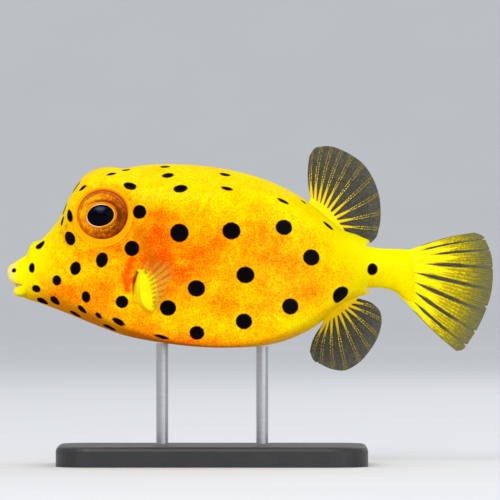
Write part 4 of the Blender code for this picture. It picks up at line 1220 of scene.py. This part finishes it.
TAIL_LOOK = {
    "splits": TAIL_SPLITS, "root_half": 0.34, "rod_half": 0.10, "narrow_by": 0.6, "bead": 0.7,
    "beads_from": 0.40, "fade_from": 0.55, "membrane": tone(62, 62, 50), "membrane_light": tone(118, 116, 82),
    "web_dip": 0.42, "web_bend": 0.8, "flesh_warmth": -0.2, "clear": 0.10, "clear_edge": 0.10,
    "gap_half": 0.34, "sheaf": 1.0, "rod": tone(255, 230, 0), "rod_dim": tone(150, 142, 10),
    "rod_least": 0.35, "rod_ends": 0.6, "wedge": tone(70, 44, 4), "beaded": 0.15, "streaked": 1.6,
    "pale_edge": 0.6}
tail = {"first": -0.45, "last": 7.45, "splits": TAIL_SPLITS, "rod_half": 0.13, "bow": -0.45 * UPWARD,
        "gaps": (0.0, 0.05, 0.2, 0.12, -0.02, -0.02, -0.02, 0.04, 0.0),
        "nicks": ((0.5, 0.05, 0.05), (1.5, 0.014, 0.04), (2.5, 0.012, 0.04), (4.28, 0.03, 0.035),
                  (5.5, 0.03, 0.045), (6.5, 0.045, 0.05))}
flat_fin("tail_fan", "tail_fin", tail_foot, TAIL_RAYS, tail, TAIL_LOOK, 1.3, (420, 110))

# %% [markdown]
# A boxfish steers and hovers with its pectoral fins. Each is a thick yellow pad of muscle behind
# the gill slit with a clear fan on its rear edge, held out from the body and swept back. From the
# side the fan is seen nearly edge on, so its rays show as fine pale streaks over the flank.
# The pad is a bent egg: ellipses across a curve that follows the gill slit.

# %% Pectoral pads
PAD_LINE = ((0, 27.35, -0.4), (0.25, 27.8, -2.4), (0.5, 28.1, -4.4), (0.75, 28.4, -6.4),
            (0.9, 28.8, -7.7), (1, 29.2, -8.6))
PAD_HALF = ((0, 1.7), (0.12, 1.75), (0.3, 2), (0.5, 2.2), (0.7, 2.2), (0.85, 1.8), (1, 1.1))
PAD_OUT = 1.8
PAD_STEPS = (90, 64)
WALL_WAYS = np.linspace(0.26, 0.72, 200)


def wall_at(behind, height):
    """Half width of the side wall at each (behind, height), read from the section there."""
    found = []
    for b, h in zip(behind, height):
        section = case(np.full(WALL_WAYS.shape, b), WALL_WAYS)
        found.append(np.interp(-h, -section[:, 2], section[:, 1]))
    return np.array(found)


def pad_surface(side):
    """Ellipses across the pad's line: half width times cos, and bulge times sin, out of the wall."""
    u = np.linspace(0, 1, PAD_STEPS[0] + 2)[1:-1]
    behind, height = line(PAD_LINE, u), line(PAD_LINE, u, 2)
    middle = np.stack([behind, side * wall_at(behind, height), height], -1)
    slope = np.gradient(middle[:, (0, 2)], axis=0)
    slope /= np.linalg.norm(slope, axis=1, keepdims=True)
    level = np.stack([-slope[:, 1], 0 * u, slope[:, 0]], -1)
    taper = np.sqrt(1 - (2 * u - 1) ** 4)
    half_wide = line(PAD_HALF, u) * taper
    turn = np.linspace(0, 2 * math.pi, PAD_STEPS[1], endpoint=False)
    bulge = np.sin(turn)
    wave = 0.05 * np.sin(turn * 9) * bulge.clip(0) * taper[:, None]
    over = (PAD_OUT * taper ** 0.8)[:, None] * np.sign(bulge) * np.abs(bulge) ** 0.9 * (1 + wave)
    points = middle[:, None] + (half_wide[:, None] * np.cos(turn))[..., None] * level[:, None]
    points = points + over[..., None] * (side * ACROSS)
    fields = {"along": u[:, None] + 0 * turn, "round": np.cos(turn) + 0 * u[:, None]}
    poles = [(b, side * wall_at([b], [h])[0], h) for _, b, h in (PAD_LINE[0], PAD_LINE[-1])]
    return points, poles, fields


def pad_paint():
    """Smooth lemon muscle with faint fibres and two creases along its front edge, with painted shade in the
    creases.
    """
    paint = Paint("pectoral_pad", {"Coat Weight": 0.06, "Coat Roughness": 0.2, "Specular IOR Level": 0.05})
    where = paint.place((1.0, 1.0, 0.35))
    fibres = paint.noise(where, 0.34, 2.0, 0.6)
    clouds = paint.noise(paint.place(), 1.6)
    round_ = paint.field("round")
    down = paint.field("along")
    front = round_.step(0.3, -0.9)
    tint = clouds * 0.24 + fibres * 0.16 + front * 0.28 - 0.16
    colour = paint.ramp(tint, ((0.0, tone(255, 246, 0)), (0.5, tone(255, 230, 0)), (1.0, AMBER)))
    bend = round_ + (paint.noise(paint.place(), 2.0) - 0.5) * 0.3
    crease = bend.band(-0.80, -0.72, -0.68, -0.60) + bend.band(-0.95, -0.90, -0.88, -0.82)
    # painted shade: the creases are painted a darker amber in the lower part of the pad, as well as bumped in
    colour = paint.blend(crease * down.step(0.25, 0.6) * 0.6, colour, tone(214, 140, 0))
    paint.set(base_color=colour, roughness=0.42 + 0.1 * fibres,
              normal=paint.bump(fibres * 0.6 - crease * 0.8, 0.06))
    return paint.material


# %% [markdown]
# The fan's table is like the other fins', but its sheet doesn't lie in a plane: each ray starts
# at the side wall and its tip is held further out, most in the middle of the fan. The sheet gets
# its thickness along its own normals, which are worked out from the grid.

# %% Pectoral fans
PECTORAL_ENDS = (-0.4, 8.4)
PECTORAL_RAYS = ((-0.4, 27.1, -0.2, 27.9, 1.6), (0, 27.5, -0.6, 28.6, 1.7), (1, 28.3, -1.4, 30.9, 1.7),
                 (2, 28.75, -2.2, 32.6, 1.3), (3, 29, -3, 33.5, 0.2), (4, 29.2, -3.8, 33.6, -1.5),
                 (5, 29.35, -4.6, 32.8, -3.3), (6, 29.45, -5.4, 32.2, -4.9), (7, 29.5, -6.3, 31.4, -6.2),
                 (8, 29.5, -7.2, 30.6, -7.3), (8.4, 29.45, -7.6, 30.3, -7.6))
PECTORAL_OUT = ((-0.4, 4.8), (0, 5.8), (2, 9.2), (4, 10.2), (6, 8), (8, 4.2), (8.4, 3.4))
PECTORAL_ROOT_OUT = 1.5
PECTORAL_SPLITS = ((0.0, 0.35, 0.14, 0.05), (0.5, 1.0, 0.02, 0.06))


def pectoral_grid(side):
    """The fan's grid: roots on the pad's rear edge, tips held out and back."""
    rays = np.linspace(*PECTORAL_ENDS, 60)
    wall = wall_at(line(PECTORAL_RAYS, rays), line(PECTORAL_RAYS, rays, 2))

    def held(at, column, further):
        behind, height = line(PECTORAL_RAYS, at, column), line(PECTORAL_RAYS, at, column + 1)
        out = np.interp(at, rays, wall) + PECTORAL_ROOT_OUT + further
        return np.stack([behind, side * out, height], -1)

    shape = {"first": PECTORAL_ENDS[0], "last": PECTORAL_ENDS[1], "splits": PECTORAL_SPLITS, "rod_half": 0.12,
             "gaps": (-0.05,) * 10}
    return fin_grid(lambda at: held(at, 1, 0.0) - (0.9, side, 0.0), lambda at: held(at, 1, 0.0),
                    lambda at: held(at, 3, line(PECTORAL_OUT, at)), shape, 0.5, (230, 80))


def normals(middle, side):
    """Unit normals of a sheet, turned to face the tail."""
    found = np.cross(np.gradient(middle, axis=1), np.gradient(middle, axis=0)) * side
    return found / np.linalg.norm(found, axis=-1, keepdims=True)


PECTORAL_LOOK = {
    **FAN_LOOK, "splits": PECTORAL_SPLITS, "root_half": 0.30, "rod_half": 0.055, "narrow_by": 0.3,
    "bead": 0.9, "beads_from": 0.9, "fade_from": 0.5, "membrane": tone(226, 130, 20),
    "membrane_light": tone(246, 178, 60), "web_dip": 0.30, "web_bend": 0.9, "flesh_warmth": -0.1,
    "clear": 0.78, "clear_edge": 0.22, "rod": tone(255, 230, 84), "rod_dim": tone(252, 208, 52),
    "rod_least": 0.85, "rod_ends": 0.65, "wedge": tone(214, 84, 0), "pale_edge": 0.0}
pad_look = pad_paint()
pectoral_look = fin_paint("pectoral_fan", PECTORAL_LOOK)
for side, word in ((LEFT, "left"), (RIGHT, "right")):
    closed_piece("pectoral_pad_" + word, *pad_surface(side), pad_look, "fin", ("pectoral_fin_" + word,))
    grid = pectoral_grid(side)
    fin_piece("pectoral_fan_" + word, grid, normals(grid[0], side), pectoral_look, ("pectoral_fin_" + word,))

# %% [markdown]
# The stand is plain and stays the solids that it is: a satin black plate and two steel rods. The
# plate has the faint orange-peel of paint and a little wear, and the rods the fine rings that
# turning and polishing leave.

# %% Stand
def plate_paint():
    """Satin black paint with orange-peel and a little dust."""
    paint = Paint("black_plate", {"Coat Weight": 0.2, "Coat Roughness": 0.3})
    where = paint.place()
    peel = paint.noise(where, 0.6, 2.0)
    dust = paint.noise(where, 9.0, 4.0, 0.6)
    colour = paint.blend(dust.step(0.4, 0.8) * 0.5, tone(30, 30, 33), tone(52, 51, 50))
    paint.set(base_color=colour, roughness=0.36 + 0.2 * dust, normal=paint.bump(peel, 0.012))
    return paint.material


def steel_paint():
    """Polished steel with rings round the rod."""
    paint = Paint("rod_steel", {"Metallic": 1.0})
    rings = paint.noise(paint.place((0.05, 0.05, 1.0)), 0.12, 3.0, 0.6)
    smudge = paint.noise(paint.place(), 4.0, 2.0)
    colour = paint.blend(rings, tone(168, 170, 172), tone(206, 207, 208))
    paint.set(base_color=colour, roughness=0.2 + 0.12 * rings + 0.1 * smudge, normal=paint.bump(rings, 0.006))
    return paint.material


steel = steel_paint()
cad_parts["stand_base"].material_slots[0].material = plate_paint()
for rod in ("stand_rod_front", "stand_rod_rear"):
    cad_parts[rod].material_slots[0].material = steel

# %% [markdown]
# The room is a shallow round bowl of matt white, flat under the fish and curving up far away, so
# that no horizon shows from any side. Its profile is turned about the upright axis: a flat disc,
# then a quarter of a circle.

# %% Floor and backdrop
BOWL_START = 50.0
BOWL_FLAT = 2600.0
BOWL_CURVE = 1200.0
BOWL_SECTORS = 96
BOWL_RINGS = (12, 24)


def bowl():
    """Rings of radius r and height z: a flat disc, and then an upward quarter of a circle."""
    turn = np.linspace(0, math.pi / 2, BOWL_RINGS[1])[1:]
    flat = np.linspace(BOWL_START, BOWL_FLAT, BOWL_RINGS[0])
    radius = np.append(flat, BOWL_FLAT + BOWL_CURVE * np.sin(turn))[:, None]
    height = np.append(0 * flat, BOWL_CURVE * (1 - np.cos(turn)))[:, None]
    angle = np.linspace(0, 2 * math.pi, BOWL_SECTORS, endpoint=False)
    return np.stack([radius * np.cos(angle), radius * np.sin(angle), height + 0 * angle], -1)


rings = bowl()
corners = np.concatenate([rings.reshape(-1, 3), [(0.0, 0.0, 0.0)]]) * MM
fan = [(len(corners) - 1, n, (n + 1) % BOWL_SECTORS) for n in range(BOWL_SECTORS)]
walls = grid_faces(len(rings), BOWL_SECTORS, True)[:, ::-1]
floor_mesh = bpy.data.meshes.new("floor")
floor_mesh.from_pydata(corners.tolist(), [], walls.tolist() + fan)
floor_mesh.shade_smooth()
floor = add("floor", floor_mesh)
floor_paint = Paint("floor_matt", {"Roughness": 0.8})
mist = floor_paint.noise(floor_paint.place(), 60.0, 3.0)
floor_paint.set(base_color=floor_paint.blend(mist, tone(228, 230, 233), tone(233, 235, 237)))
floor_mesh.materials.append(floor_paint.material)

# %% [markdown]
# Four soft lights and a pale sky give the broad even light of the photograph. The brightest is in
# front and above, so that the back glows and the belly falls off gently. Each has a name, a place
# and a size in metres, a power in watts and a colour.

# %% Lights
LIGHTS = (
    ("key", (-0.35, -1.0, 0.72), 0.7, 6.1, (1.0, 0.99, 0.98)),
    ("fill", (0.6, -0.9, 0.12), 0.9, 3.3, (0.97, 0.98, 1.0)),
    ("top", (0.05, 0.1, 0.95), 0.8, 1.4, (1.0, 1.0, 1.0)),
    ("rim", (0.5, 0.8, 0.5), 0.5, 1.4, (1.0, 0.98, 0.95)),
)
aim = np.array([0.0, 0.0, VIEW_HEIGHT_AT])
for name, place, size, power, colour in LIGHTS:
    light = add(name, bpy.data.lights.new(name, "AREA"))
    light.data.size = size
    light.data.energy = power
    light.data.color = colour
    light.visible_camera = False
    light.location = place
    toward = Vector(aim - np.array(place))
    light.rotation_euler = toward.to_track_quat("-Z", "Y").to_euler()

WORLD_COLOUR = (0.96, 0.975, 1.0, 1.0)
WORLD_STRENGTH = 0.66
world = bpy.data.worlds.new("studio")
bpy.context.scene.world = world
world.use_nodes = True
sky = world.node_tree.nodes["Background"]
sky.inputs["Color"].default_value = WORLD_COLOUR
sky.inputs["Strength"].default_value = WORLD_STRENGTH
bpy.context.scene.view_settings.view_transform = "Standard"
